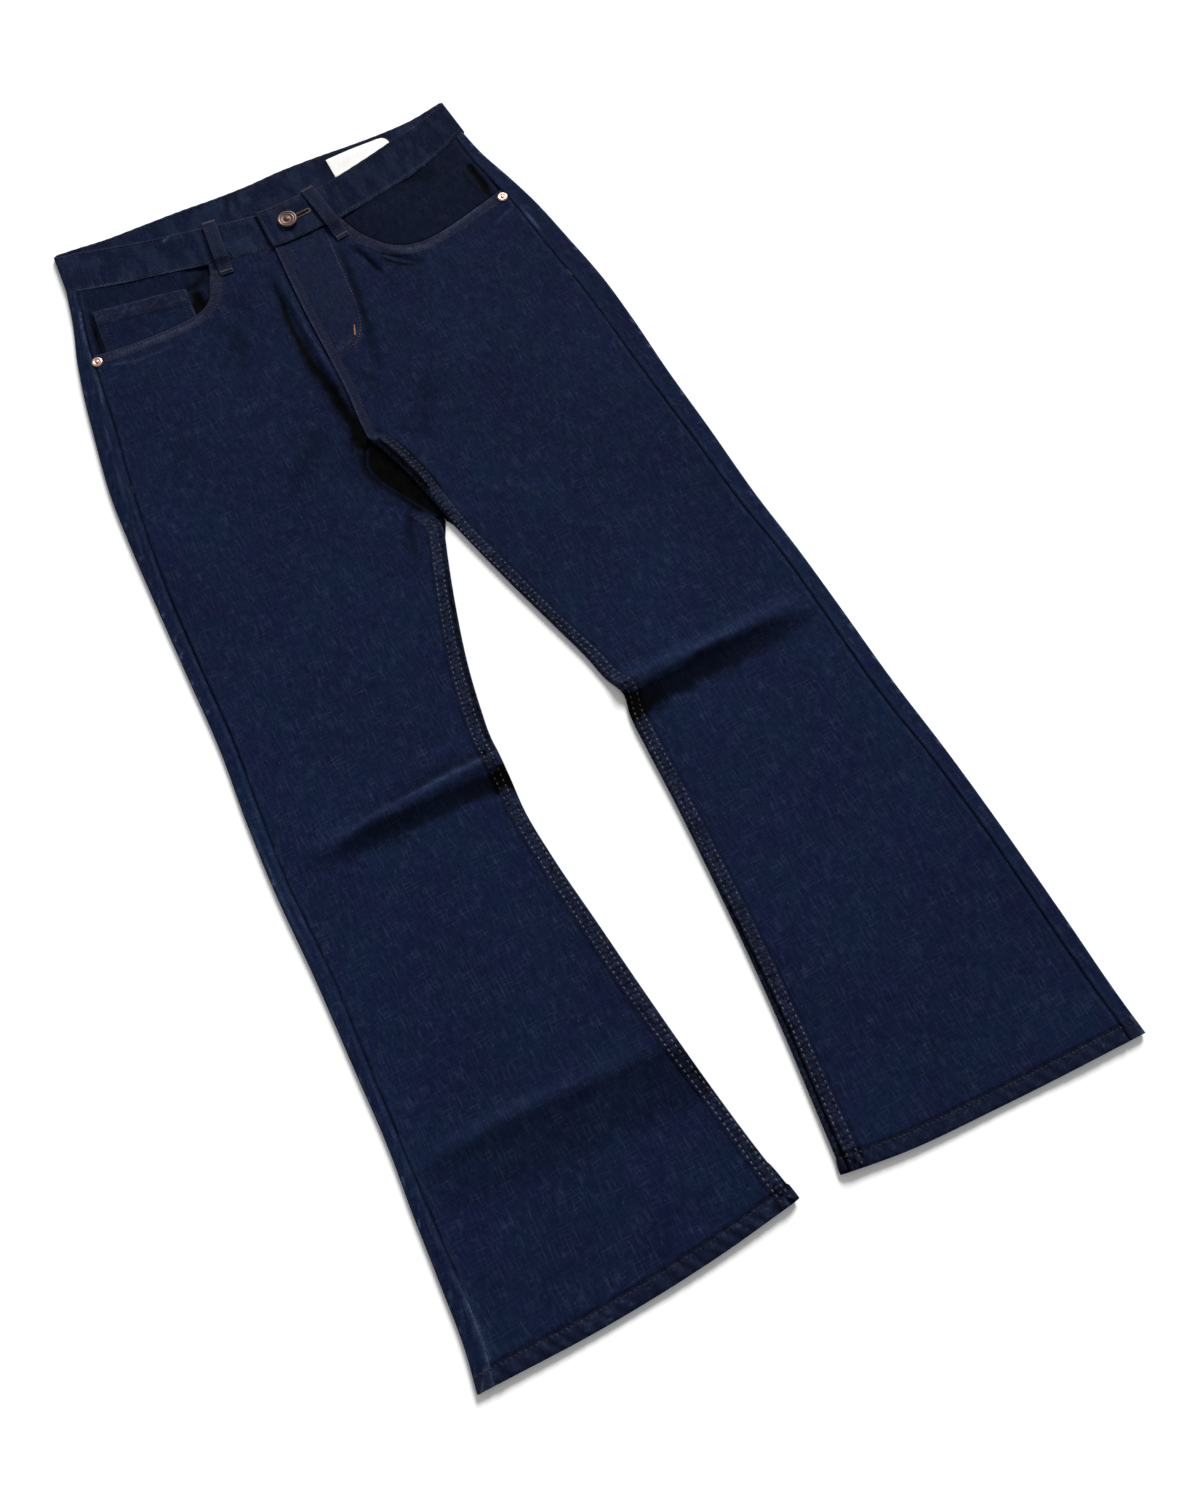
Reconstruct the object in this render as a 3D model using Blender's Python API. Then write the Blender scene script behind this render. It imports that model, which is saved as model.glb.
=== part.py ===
"""Bootcut jeans laid flat with the front up: each cut piece is a cloth wall in an object of its own.

The jeans lie along Y on the plane z = 0, with the waist at +Y and the origin under the middle of their
bounding box. Right and left are the wearer's, so the right leg is on the -X side. Tables are in
millimetres and are scaled as they are read; all other values are in metres.
"""

import math
from collections import namedtuple

import bmesh
import bpy
import numpy as np

MM = 0.001

# Cloth and gaps
CLOTH = 1.2 * MM  # one layer of heavy denim
SEAM_GAP = 0.3 * MM  # between pieces that are sewn together or lie on each other
HEM_CLOTH = 2.4 * MM  # the turned-up hem
HEM_DEPTH = 13 * MM
HEM_STEP = 2.5 * MM  # over this much of the length the hem's extra layer ends
FELL_CLOTH = 2.0 * MM  # the double-stitched inseam allowance on the front panels
FELL_WIDTH = 11 * MM
INSEAM_ROLL = 2.4 * MM  # width of the rounded inner edge of a front panel
ROLL_FADE = 7 * MM  # over this much of the length the rounding ends at the crotch
MID_SAG = 0.9 * MM  # how far the front panels sink between their two edges
SAG_FADE = 40 * MM  # over this much of the length the sag ends at the pockets

# Landmarks along the body
CROTCH_Y = 209 * MM
FORK_Y = 106 * MM  # where the two legs part, seen from above
POCKET_ZONE_Y = 330 * MM  # above this the front panels' rows bend to the pocket mouth
LEVEL_HEM_Y = -506 * MM
HEM_SWAY_REACH = 70 * MM  # the hem's slant fades out over this much of the leg
CROTCH_FOLD_Y = (112 * MM, 200 * MM)
CROTCH_FOLD_RISE = 2.2 * MM  # from its lower end to its upper one
CROTCH_FOLD_DISH = 0.7 * MM  # its middle against its two edges
YOKE_CENTRE_Y = 402 * MM
YOKE_SIDE_Y = 432 * MM
BAND_SIDE_Y = 477 * MM  # where the waistband's lower edge meets the outer folds

# Waistband
BAND_CLOTH = 2.4 * MM  # outer strip and its facing
BAND_TOP = 6.4 * MM  # height of the front half's face above the surface
BAND_HEIGHT = 46 * MM
BAND_SIDE = 198.6 * MM  # half the waist, at the band's top edge
BAND_FLARE = 1.016  # the band's lower edge against its top edge
BAND_END_X = -15 * MM  # the buttonhole end, on top
UNDERLAP_END_X = 28 * MM  # the button end, underneath
LAP_START_X = 32 * MM  # here the top layer starts to come down off the underlap
LAP_FADE = 20 * MM

# Fly and rise seam
FLY_RAISE = 1.0 * MM
FLY_EDGE = 3 * MM
FLY_STEP = 0.5 * MM  # the left front stands this much over the right front along the rise seam
FLY_STEP_WIDTH = 9 * MM
FLY_STEP_FADE = 12 * MM

# Pockets, loops, trims
FACING_TUCK = 9 * MM  # how far a facing runs on under the front panel
FACING_RISE = 0.75  # share of the sunk depth that a facing makes up further in from the mouth
FACING_RISE_REACH = 30 * MM
COIN_CLOTH = 1.0 * MM
LOOP_WIDTH = 12.5 * MM
LOOP_CLOTH = 1.6 * MM
LOOP_BOW = 1.4 * MM
LABEL_CLOTH = 1.0 * MM
BUTTON_RADIUS = 9.2 * MM
BUTTON_PLACE = (8.5 * MM, 454.5 * MM)
RIVET_RADIUS = 4.9 * MM
RIVET_PLACES = {"right": (-203.5 * MM, 393.5 * MM), "left": (198.0 * MM, 387.0 * MM)}

SIDES = {"right": -1, "left": 1}

# The outer fold of each leg, how far the back panel wraps over it, and the height of the fold
Outline = namedtuple("Outline", "y right left wrap_right wrap_left height")
OUTLINE = [
    Outline(-506, 271.8, 271.8, 14.0, 14.0, 6.0),
    Outline(-480, 267.4, 270.2, 14.2, 13.6, 5.4),
    Outline(-430, 263.9, 269.4, 13.1, 14.1, 4.9),
    Outline(-380, 261.1, 268.3, 11.7, 13.4, 4.8),
    Outline(-340, 258.0, 267.2, 10.2, 13.3, 4.8),
    Outline(-270, 256.4, 264.0, 11.1, 14.2, 4.6),
    Outline(-200, 255.1, 258.8, 12.7, 15.7, 4.6),
    Outline(-120, 255.3, 255.6, 11.8, 15.0, 4.9),
    Outline(-60, 252.8, 252.8, 12.6, 14.3, 4.6),
    Outline(0, 248.4, 248.2, 12.6, 16.0, 4.6),
    Outline(80, 247.2, 245.6, 12.8, 17.9, 4.6),
    Outline(150, 246.2, 242.6, 13.6, 19.4, 4.8),
    Outline(210, 244.9, 241.8, 16.7, 22.0, 5.0),
    Outline(260, 242.5, 239.4, 19.5, 22.6, 5.2),
    Outline(320, 234.6, 231.6, 20.1, 21.8, 5.5),
    Outline(370, 226.6, 223.8, 17.8, 18.7, 5.9),
    Outline(410, 218.2, 214.4, 13.6, 16.0, 6.0),
    Outline(445, 208.6, 205.0, 10.5, 12.5, 6.0),
    Outline(478, 202.0, 200.0, 10.0, 10.0, 6.2),
]

# The inner edge of each leg, from the hem to the fork
InsideLeg = namedtuple("InsideLeg", "y right left")
INSIDE_LEG = [
    InsideLeg(-506, -16.2, 21.6),
    InsideLeg(-460, -23.8, 27.4),
    InsideLeg(-400, -32.2, 35.2),
    InsideLeg(-335, -39.8, 42.0),
    InsideLeg(-260, -47.6, 48.0),
    InsideLeg(-200, -53.8, 51.8),
    InsideLeg(-155, -55.9, 53.6),
    InsideLeg(-125, -53.6, 55.4),
    InsideLeg(-105, -52.4, 59.4),
    InsideLeg(-88, -52.0, 53.2),
    InsideLeg(-65, -48.6, 48.6),
    InsideLeg(-25, -40.8, 37.8),
    InsideLeg(25, -27.2, 24.0),
    InsideLeg(75, -11.2, 11.4),
    InsideLeg(90, -6.0, 7.8),
]

# The inseam edges of the two front panels from the fork up to the crotch point
FRONT_FORK = [
    InsideLeg(100, -3.4, 5.8),
    InsideLeg(110, -4.6, 3.8),
    InsideLeg(120, -9.6, 1.6),
    InsideLeg(136, -18.2, -1.6),
    InsideLeg(152, -26.6, -4.6),
    InsideLeg(168, -33.8, -8.6),
    InsideLeg(184, -36.4, -13.2),
    InsideLeg(198, -30.6, -18.0),
    InsideLeg(209, -23.4, -22.6),
]

# The front rise seam, from the crotch point to the waistband
Rise = namedtuple("Rise", "y x")
FRONT_RISE = [
    Rise(209, -23.0),
    Rise(225, -22.6),
    Rise(262, -19.6),
    Rise(300, -18.8),
    Rise(350, -18.4),
    Rise(400, -16.4),
    Rise(440, -13.8),
]

# The same edges of the two back panels close up to the fork, where the seat seam starts
BACK_FORK = [
    InsideLeg(100, -0.8, 5.2),
    InsideLeg(106, 1.85, 2.15),
]
FORK_X = 2.0 * MM
SEAT_TOP_X = 0.0
BACK_ROLL_FADE = 5 * MM  # over this much of the length a back panel's rounded edge ends at the fork

# Slanted hem lines
HemPoint = namedtuple("HemPoint", "x y")
HEM_LINES = {
    "right": [HemPoint(16, -504.0), HemPoint(80, -509.5), HemPoint(170, -512.0), HemPoint(271, -508.0)],
    "left": [HemPoint(21, -504.5), HemPoint(60, -511.5), HemPoint(150, -519.5), HemPoint(271, -526.0)],
}

# Rows across the waistband: share of its height, share of its thickness
BAND_STEPS = [(0.0, 0.75), (0.06, 1.0), (0.35, 1.0), (0.65, 1.0), (0.94, 1.0), (1.0, 0.75)]

# Waistband edges
BandPoint = namedtuple("BandPoint", "x front_low front_top back_top")
BAND = [
    BandPoint(-200, 478.0, 520.5, 526.4),
    BandPoint(-178, 471.5, 516.0, 524.5),
    BandPoint(-150, 464.0, 508.0, 521.5),
    BandPoint(-115, 456.0, 498.5, 520.5),
    BandPoint(-75, 446.5, 490.0, 519.5),
    BandPoint(-40, 439.5, 482.5, 517.5),
    BandPoint(-10, 433.5, 477.5, 517.0),
    BandPoint(25, 434.0, 478.0, 518.6),
    BandPoint(60, 438.5, 481.5, 517.9),
    BandPoint(100, 445.0, 489.5, 515.5),
    BandPoint(135, 452.0, 498.0, 514.5),
    BandPoint(165, 462.0, 505.0, 516.0),
    BandPoint(184, 471.0, 511.5, 519.5),
    BandPoint(200, 478.0, 518.0, 523.0),
]

# The scooped pocket mouths, from the waistband to the outseam
MouthPoint = namedtuple("MouthPoint", "x y")
MOUTHS = {
    "right": [
        MouthPoint(75, 446.0),
        MouthPoint(79, 432.0),
        MouthPoint(84, 418.5),
        MouthPoint(91, 407.5),
        MouthPoint(102, 400.5),
        MouthPoint(119, 397.5),
        MouthPoint(142, 396.5),
        MouthPoint(168, 397.0),
        MouthPoint(189, 399.0),
        MouthPoint(203.5, 401.0),
    ],
    "left": [
        MouthPoint(54, 437.5),
        MouthPoint(58, 424.0),
        MouthPoint(64, 410.5),
        MouthPoint(72, 398.0),
        MouthPoint(83, 386.5),
        MouthPoint(98, 379.0),
        MouthPoint(118, 377.0),
        MouthPoint(142, 380.5),
        MouthPoint(168, 387.0),
        MouthPoint(200.5, 395.5),
    ],
}
MOUTH_BEND = 4  # the row of each table where the mouth turns from steep to level

# The curved edge of the fly's topstitched plateau on the left front
FlyEdge = namedtuple("FlyEdge", "y x")
FLY_PLATEAU = [
    FlyEdge(297.5, -22.0),
    FlyEdge(300, 0.0),
    FlyEdge(304, 10.5),
    FlyEdge(312, 17.0),
    FlyEdge(322, 21.8),
    FlyEdge(341, 26.4),
    FlyEdge(372, 29.8),
    FlyEdge(410, 33.2),
    FlyEdge(440, 36.0),
]

# Coin pocket corners, from its lower inner corner round
Corner = namedtuple("Corner", "x y")
COIN_CORNERS = [Corner(-107, 390), Corner(-104, 431), Corner(-188, 446), Corner(-194, 390)]

# Belt loop centre lines: the end over the band's top edge and the end below the band
LoopLine = namedtuple("LoopLine", "side top_x top_y low_x low_y")
LOOPS = [LoopLine("right", -57.5, 488.0, -64.0, 427.5), LoopLine("left", 38.5, 480.5, 47.0, 414.5)]

# Across a loop: share of its width from its middle line, share of its thickness
LOOP_STEPS = [(-0.5, 0.7), (-0.42, 1.0), (0.0, 1.0), (0.42, 1.0), (0.5, 0.7)]
LOOP_CLIMB = (0.14, 0.28)  # shares of its length between which it climbs on to the waistband

# Label inside the back of the waistband
LABEL_X = (70 * MM, 132.4 * MM)
LABEL_Y = (484.6 * MM, 508.8 * MM)

# Profiles of the button and the rivets: radius as a share of the piece's own, height in millimetres
BUTTON_PROFILE = [
    (0, 0),
    (0.55, 0),
    (0.86, 0.7),
    (1, 1.5),
    (0.98, 2.2),
    (0.86, 2.7),
    (0.66, 2.5),
    (0.34, 2.2),
    (0.24, 2.9),
    (0, 3.1),
]
RIVET_PROFILE = [(0, 0), (1, 0), (1, 0.4), (0.8, 1.1), (0.5, 0.9), (0.34, 0.8), (0.28, 1.5), (0, 1.7)]

# Folds of the front: ridges and, with a negative height, troughs
Fold = namedtuple("Fold", "x1 y1 x2 y2 height width")
FOLDS = [
    Fold(-44, -105, -222, -111, 5.2, 8.0),  # right knee
    Fold(-48, -126, -212, -129, -1.2, 8.5),
    Fold(-70, -82, -190, -90, 0.9, 6.0),
    Fold(52, -99, 232, -104, 5.8, 8.0),  # left knee
    Fold(56, -122, 222, -123, -1.3, 8.5),
    Fold(90, -80, 200, -84, 0.7, 7.0),
    Fold(-45, -360, -264, -353, 1.5, 8.0),  # right shin
    Fold(-50, -375, -256, -368, -0.8, 7.0),
    Fold(-33, 398, -31, 236, -2.4, 4.6),  # beside the fly
    Fold(-24, 392, -25, 228, 1.0, 3.4),
    Fold(51, 398, 61, 360, -1.7, 3.2),  # below the left pocket mouth
    Fold(68, 384, 100, 355, -1.9, 3.4),
    Fold(60, 392, 82, 358, 0.9, 4.0),
    Fold(-17, 205, -2, 168, 2.6, 7.0),  # left inseam by the crotch
    Fold(-2, 168, 14, 96, 2.2, 7.0),
    Fold(-58, 196, -34, 128, -1.0, 12.0),  # right thigh dips into the fork
    Fold(-120, 240, -60, 205, 0.6, 12.0),
    Fold(40, 232, 110, 252, 0.6, 12.0),
]

# Each fold fades in and out along its line: over this share of its length, from this share of its height
FOLD_START_FADE, FOLD_START_SHARE = 0.18, 0.5
FOLD_END_FADE, FOLD_END_SHARE = 0.3, 0.2

# How the rows of the front and back panels are spread: from y, to y, and how many rows
RowZone = namedtuple("RowZone", "start end count")
FRONT_ROWS = [
    RowZone(-506, -494, 3),
    RowZone(-491, -385, 4),
    RowZone(-374, -340, 4),
    RowZone(-310, -160, 4),
    RowZone(-142, -84, 12),
    RowZone(-66, 84, 6),
    RowZone(100, 198, 7),
    RowZone(205, 213, 2),
    RowZone(232, 330, 5),
]
POCKET_ZONE_ROWS = 7
BACK_ROWS = [
    RowZone(-506, -494, 3),
    RowZone(-491, -385, 3),
    RowZone(-360, -160, 5),
    RowZone(-125, -84, 3),
    RowZone(-66, 84, 5),
    RowZone(98, 110, 3),
    RowZone(140, 396, 9),
]
EDGE_TURNS = (0, 30, 60, 90)  # degrees round a back panel's inner edge, down to the floor
BEND_TURNS = (30, 60, 90, 120, 150, 180)  # degrees round an outer fold, from the floor up
FLOOR_COLUMNS = 5
YOKE_ROW_COUNT = 4
YOKE_FLOOR_COLUMNS = 13
OPEN_COLUMNS = 12  # front columns between the inseam allowance and the outseam
BAND_COLUMNS = 3  # of those, the ones that end at the waistband

# Colours and finishes
Finish = namedtuple("Finish", "red green blue roughness metallic")
FINISHES = {
    "denim": Finish(0.0090, 0.0143, 0.0385, 0.86, 0.0),
    "band_denim": Finish(0.0090, 0.0140, 0.0360, 0.86, 0.0),
    "pocket_denim": Finish(0.0105, 0.0140, 0.0320, 0.86, 0.0),
    "button_metal": Finish(0.115, 0.080, 0.062, 0.38, 0.9),
    "rivet_metal": Finish(0.74, 0.45, 0.36, 0.30, 0.95),
    "label_cloth": Finish(0.80, 0.79, 0.77, 0.62, 0.0),
}


def clear_scene():
    for thing in list(bpy.data.objects):
        bpy.data.objects.remove(thing, do_unlink=True)


# Curves and blends


def through(value, knots, readings):
    """A smooth line through the readings, held level beyond its ends."""
    order = np.argsort(knots)
    knots = np.asarray(knots, float)[order]
    readings = np.asarray(readings, float)[order]
    slopes = np.gradient(readings, knots)
    value = np.asarray(value, float)
    cell = np.clip(np.searchsorted(knots, value) - 1, 0, len(knots) - 2)
    span = knots[cell + 1] - knots[cell]
    t = np.clip((value - knots[cell]) / span, 0.0, 1.0)
    start = (2 * t**3 - 3 * t**2 + 1) * readings[cell] + (t**3 - 2 * t**2 + t) * span * slopes[cell]
    end = (3 * t**2 - 2 * t**3) * readings[cell + 1] + (t**3 - t**2) * span * slopes[cell + 1]
    return start + end


def column(table, name, value):
    """One named column of a table at a value of its first column, in metres."""
    knots = [row[0] * MM for row in table]
    return through(value, knots, [getattr(row, name) * MM for row in table])


def ease(t):
    t = np.clip(t, 0.0, 1.0)
    return t * t * (3 - 2 * t)


def rows_of(zones):
    return np.concatenate([np.linspace(z.start, z.end, z.count) for z in zones]) * MM


def resampled(points, count):
    """A smooth line of count points through the given ones, evenly spaced."""
    points = np.asarray(points, float)
    run = np.concatenate([[0], np.cumsum(np.linalg.norm(np.diff(points, axis=0), axis=1))])
    places = np.linspace(0, run[-1], count)
    return np.stack([through(places, run, points[:, axis]) for axis in (0, 1)], axis=1)


def filled(low, high, start, end):
    """A grid of points over four edges: low and high run across, start and end run up."""
    low, high, start, end = (np.asarray(edge, float) for edge in (low, high, start, end))
    across = np.concatenate([[0], np.cumsum(np.linalg.norm(np.diff(low, axis=0), axis=1))])
    up = np.concatenate([[0], np.cumsum(np.linalg.norm(np.diff(start, axis=0), axis=1))])
    u = (across / across[-1])[None, :, None]
    v = (up / up[-1])[:, None, None]
    ruled_up = (1 - v) * low[None] + v * high[None]
    ruled_across = (1 - u) * start[:, None] + u * end[:, None]
    corners = (1 - u) * (1 - v) * low[0] + u * (1 - v) * low[-1] + (1 - u) * v * high[0] + u * v * high[-1]
    return ruled_up + ruled_across - corners


# The garment's own measures


def outer_fold(side, y):
    """Distance of a leg's outer fold from the middle line."""
    return column(OUTLINE, side, y)


def outseam(side, y):
    return outer_fold(side, y) - column(OUTLINE, f"wrap_{side}", y)


def fold_height(y):
    return column(OUTLINE, "height", y)


def front_edge(side, y):
    """Signed x of a front panel's inner edge: inseam up to the crotch point, then the rise seam."""
    inseam = column(INSIDE_LEG + FRONT_FORK, side, y)
    rise = column(FRONT_RISE, "x", y) + SIDES[side] * SEAM_GAP / 2
    return np.where(y < CROTCH_Y, inseam, rise)


def back_edge(side, y):
    """Signed x of a back panel's inner edge: inseam up to the fork, then the seat seam."""
    inseam = column(INSIDE_LEG + BACK_FORK, side, y)
    seat = FORK_X + (SEAT_TOP_X - FORK_X) * (y - FORK_Y) / (YOKE_CENTRE_Y - FORK_Y)
    return np.where(y < FORK_Y, inseam, seat + SIDES[side] * SEAM_GAP / 2)


def hem_sway(side, x, y):
    """How far a point near the hem moves down the leg, so that the hem takes its slant."""
    line = HEM_LINES[side]
    drop = through(np.abs(x), [p.x * MM for p in line], [p.y * MM for p in line]) - LEVEL_HEM_Y
    return drop * ease(1 - (y - LEVEL_HEM_Y) / HEM_SWAY_REACH)


def hem_share(y):
    """1 in the turned-up hem, 0 above it."""
    return 1 - ease((y - (LEVEL_HEM_Y + HEM_DEPTH)) / HEM_STEP)


def band_low(x):
    """The flared lower edge of the waistband's front half."""
    return column(BAND, "front_low", x / BAND_FLARE)


def band_back_low(x):
    """The same of its back half, on the surface."""
    return column(BAND, "back_top", x / BAND_FLARE) - BAND_HEIGHT


def yoke_line(x):
    return YOKE_CENTRE_Y + (YOKE_SIDE_Y - YOKE_CENTRE_Y) * np.clip(np.abs(x) / BAND_SIDE, 0, 1)


def fold_relief(x, y):
    """The ridges and troughs of the front, added up."""
    relief = np.zeros(np.broadcast(x, y).shape)
    for fold in FOLDS:
        x1, y1, x2, y2 = (value * MM for value in (fold.x1, fold.y1, fold.x2, fold.y2))
        length = math.hypot(x2 - x1, y2 - y1)
        along = ((x - x1) * (x2 - x1) + (y - y1) * (y2 - y1)) / length
        off = ((y - y1) * (x2 - x1) - (x - x1) * (y2 - y1)) / length
        fade = ease(along / (FOLD_START_FADE * length) + FOLD_START_SHARE)
        fade = fade * ease((length - along) / (FOLD_END_FADE * length) + FOLD_END_SHARE)
        relief = relief + fold.height * MM * np.exp(-((off / (fold.width * MM)) ** 2)) * fade
    return relief


def fly_share(x, y):
    """1 on the fly's plateau of the left front, 0 off it."""
    edge = column(FLY_PLATEAU, "x", y)
    inside = ease((edge - x) / FLY_EDGE + 0.5) * ease((y - FLY_PLATEAU[0].y * MM) / FLY_EDGE)
    return inside * (x > column(FRONT_RISE, "x", y))


def front_height(x, y, side):
    """Height of the front's upper face."""
    inner, seam = front_edge(side, y), SIDES[side] * outseam(side, y)
    share = np.clip((x - inner) / (seam - inner), 0, 1)
    sag = MID_SAG * ease((POCKET_ZONE_Y + SAG_FADE - y) / SAG_FADE)
    height = fold_height(y) - sag * np.sin(math.pi * share) ** 2 + fold_relief(x, y)
    if side == "left":
        step = FLY_STEP * ease(1 - (x - inner) / FLY_STEP_WIDTH) * ease((y - CROTCH_Y) / FLY_STEP_FADE)
        height = height + FLY_RAISE * fly_share(x, y) + step
    return height


# Cloth walls


def wall(name, finish, outer, thickness, up_at, inner_low=0.0, inner_high=1.0):
    """A closed cloth wall: a grid of points on the outer face, and the same moved in by the thickness.

    up_at is a (row, column) of the grid and the sign of z that its outward normal has there. The inner
    face stays between the heights inner_low and inner_high, clear of the layer that it lies on.
    """
    outer = np.asarray(outer, float)
    along_rows, along_columns = np.gradient(outer, axis=0), np.gradient(outer, axis=1)
    normals = np.cross(along_columns, along_rows)
    normals /= np.linalg.norm(normals, axis=2, keepdims=True)
    row, col, sign = up_at
    if normals[row, col, 2] * sign < 0:
        normals = -normals
    inner = outer - normals * np.broadcast_to(thickness, outer.shape[:2])[..., None]
    inner[..., 2] = np.clip(inner[..., 2], inner_low, inner_high)

    rows, columns = outer.shape[:2]
    shape = bmesh.new()
    faces = []
    skins = [[[shape.verts.new(p) for p in line] for line in skin] for skin in (outer, inner)]
    for i in range(rows - 1):
        for j in range(columns - 1):
            for skin, turn in zip(skins, (1, -1)):
                ring = (skin[i][j], skin[i][j + 1], skin[i + 1][j + 1], skin[i + 1][j])
                faces.append(ring[::turn])
    rim = [(0, j) for j in range(columns)] + [(i, columns - 1) for i in range(1, rows)]
    rim += [(rows - 1, j) for j in range(columns - 2, -1, -1)] + [(i, 0) for i in range(rows - 2, 0, -1)]
    for (i, j), (k, m) in zip(rim, rim[1:] + rim[:1]):
        faces.append((skins[0][k][m], skins[0][i][j], skins[1][i][j], skins[1][k][m]))
    for ring in faces:
        shape.faces.new(ring)
    if shape.calc_volume(signed=True) < 0:
        bmesh.ops.reverse_faces(shape, faces=shape.faces)
    return placed(name, finish, shape)


def placed(name, finish, shape):
    mesh = bpy.data.meshes.new(name)
    shape.to_mesh(mesh)
    shape.free()
    mesh.shade_smooth()
    mesh.set_sharp_from_angle(angle=math.radians(40))
    mesh.materials.append(material(finish))
    piece = bpy.data.objects.new(name, mesh)
    bpy.context.scene.collection.objects.link(piece)
    return piece


def material(name):
    if name in bpy.data.materials:
        return bpy.data.materials[name]
    made = bpy.data.materials.new(name)
    made.use_nodes = True
    shader = made.node_tree.nodes["Principled BSDF"]
    finish = FINISHES[name]
    shader.inputs["Base Color"].default_value = (finish.red, finish.green, finish.blue, 1)
    shader.inputs["Roughness"].default_value = finish.roughness
    shader.inputs["Metallic"].default_value = finish.metallic
    return made


# Front panels

ROLL_STEPS = np.array([0.0, 0.12, 0.5, 1.0])  # columns over the rolled inner edge, as a share of its width
FELL_STEPS = np.array([FELL_WIDTH, FELL_WIDTH + 1.5 * MM])


def front_panel(side):
    """From the hem to the waistband, with the pocket mouth as its upper outer edge."""
    sign = SIDES[side]
    rows = rows_of(FRONT_ROWS)
    near = np.concatenate([INSEAM_ROLL * ROLL_STEPS, FELL_STEPS])
    shares = np.arange(1, OPEN_COLUMNS + 1) / OPEN_COLUMNS

    plan = []
    for y in rows:
        inner = front_edge(side, y)
        seam = sign * (outseam(side, y) - SEAM_GAP / 2)
        start = inner + sign * near
        x = np.concatenate([start, start[-1] + shares * (seam - start[-1])])
        plan.append(np.stack([x, y + hem_sway(side, x, y)], axis=1))
    plan = np.array(plan)

    mouth = np.array([(sign * p.x * MM, p.y * MM) for p in MOUTHS[side]])
    corner_x = front_edge(side, FRONT_RISE[-1].y * MM)
    band_x = corner_x + sign * near
    band_x = np.concatenate([band_x, np.linspace(band_x[-1], mouth[0, 0], BAND_COLUMNS + 1)[1:]])
    band = np.stack([band_x, band_low(band_x) - SEAM_GAP], axis=1)
    mouth[-1, 0] = sign * (outseam(side, mouth[-1, 1]) - SEAM_GAP / 2)
    high = np.concatenate([band, mouth[1:]])
    rise_y = np.linspace(POCKET_ZONE_Y, high[0, 1], POCKET_ZONE_ROWS + 1)
    seam_y = np.linspace(POCKET_ZONE_Y, high[-1, 1], POCKET_ZONE_ROWS + 1)
    start = np.stack([front_edge(side, rise_y), rise_y], axis=1)
    end = np.stack([sign * (outseam(side, seam_y) - SEAM_GAP / 2), seam_y], axis=1)
    plan = np.concatenate([plan, filled(plan[-1], high, start, end)[1:]])

    x, y = plan[..., 0], plan[..., 1]
    height = front_height(x, y, side)
    inner = front_edge(side, y)
    rolled = ease((CROTCH_Y - y) / ROLL_FADE + 0.1)
    reach = np.abs(x - inner) / INSEAM_ROLL
    drop = 1 - np.sqrt(1 - (1 - np.clip(reach, 0, 1)) ** 2)
    edge_height = fold_height(y) / 2 + SEAM_GAP / 2
    height = height - rolled * drop * (height - edge_height)

    thickness = np.full(x.shape, CLOTH)
    fell = slice(len(ROLL_STEPS), len(ROLL_STEPS) + 1)
    thickness[:, fell] = FELL_CLOTH
    thickness[:, len(ROLL_STEPS) - 1] = (CLOTH + FELL_CLOTH) / 2
    thickness = thickness + (HEM_CLOTH - CLOTH) * hem_share(y) * (thickness < FELL_CLOTH)
    back_cloth = CLOTH + (HEM_CLOTH - CLOTH) * hem_share(y)
    over_back = np.maximum(back_cloth + SEAM_GAP, rolled * (reach < 1.01) * edge_height)
    outer = np.stack([x, y, height], axis=2)
    return wall("front_" + side, "denim", outer, thickness, (20, 10, 1), inner_low=over_back)


# Back panels and yokes


def back_section(side, y_inner, y_at, floor_columns=FLOOR_COLUMNS):
    """Points of one section on the outer face: inner edge, floor, outer fold, and on top to the outseam.

    y_at gives a point's place along the leg from its x and its share of the fold's height.
    """
    sign = SIDES[side]
    rolled = float(ease((FORK_Y - y_inner) / BACK_ROLL_FADE))
    radius = fold_height(y_inner) / 2
    turn = np.radians(EDGE_TURNS)
    inner = back_edge(side, y_inner)
    start_x = inner + sign * radius * (1 - np.cos(turn))
    start_z = rolled * (radius - SEAM_GAP / 2) * (1 - np.sin(turn))
    outer = sign * outer_fold(side, y_inner)
    floor_x = np.linspace(start_x[-1], outer - sign * radius, floor_columns + 1)[1:]
    bend = np.radians(BEND_TURNS)
    bend_x = outer - sign * radius * (1 - np.sin(bend))
    bend_z = radius * (1 - np.cos(bend))
    seam_x = sign * (outseam(side, y_inner) + SEAM_GAP / 2)
    x = np.concatenate([start_x, floor_x, bend_x, [(bend_x[-1] + seam_x) / 2, seam_x]])
    z = np.concatenate([start_z, np.zeros(len(floor_x)), bend_z, [bend_z[-1]] * 2])
    y = y_at(x, z / (2 * radius))
    return np.stack([x, y, z], axis=1)


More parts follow.
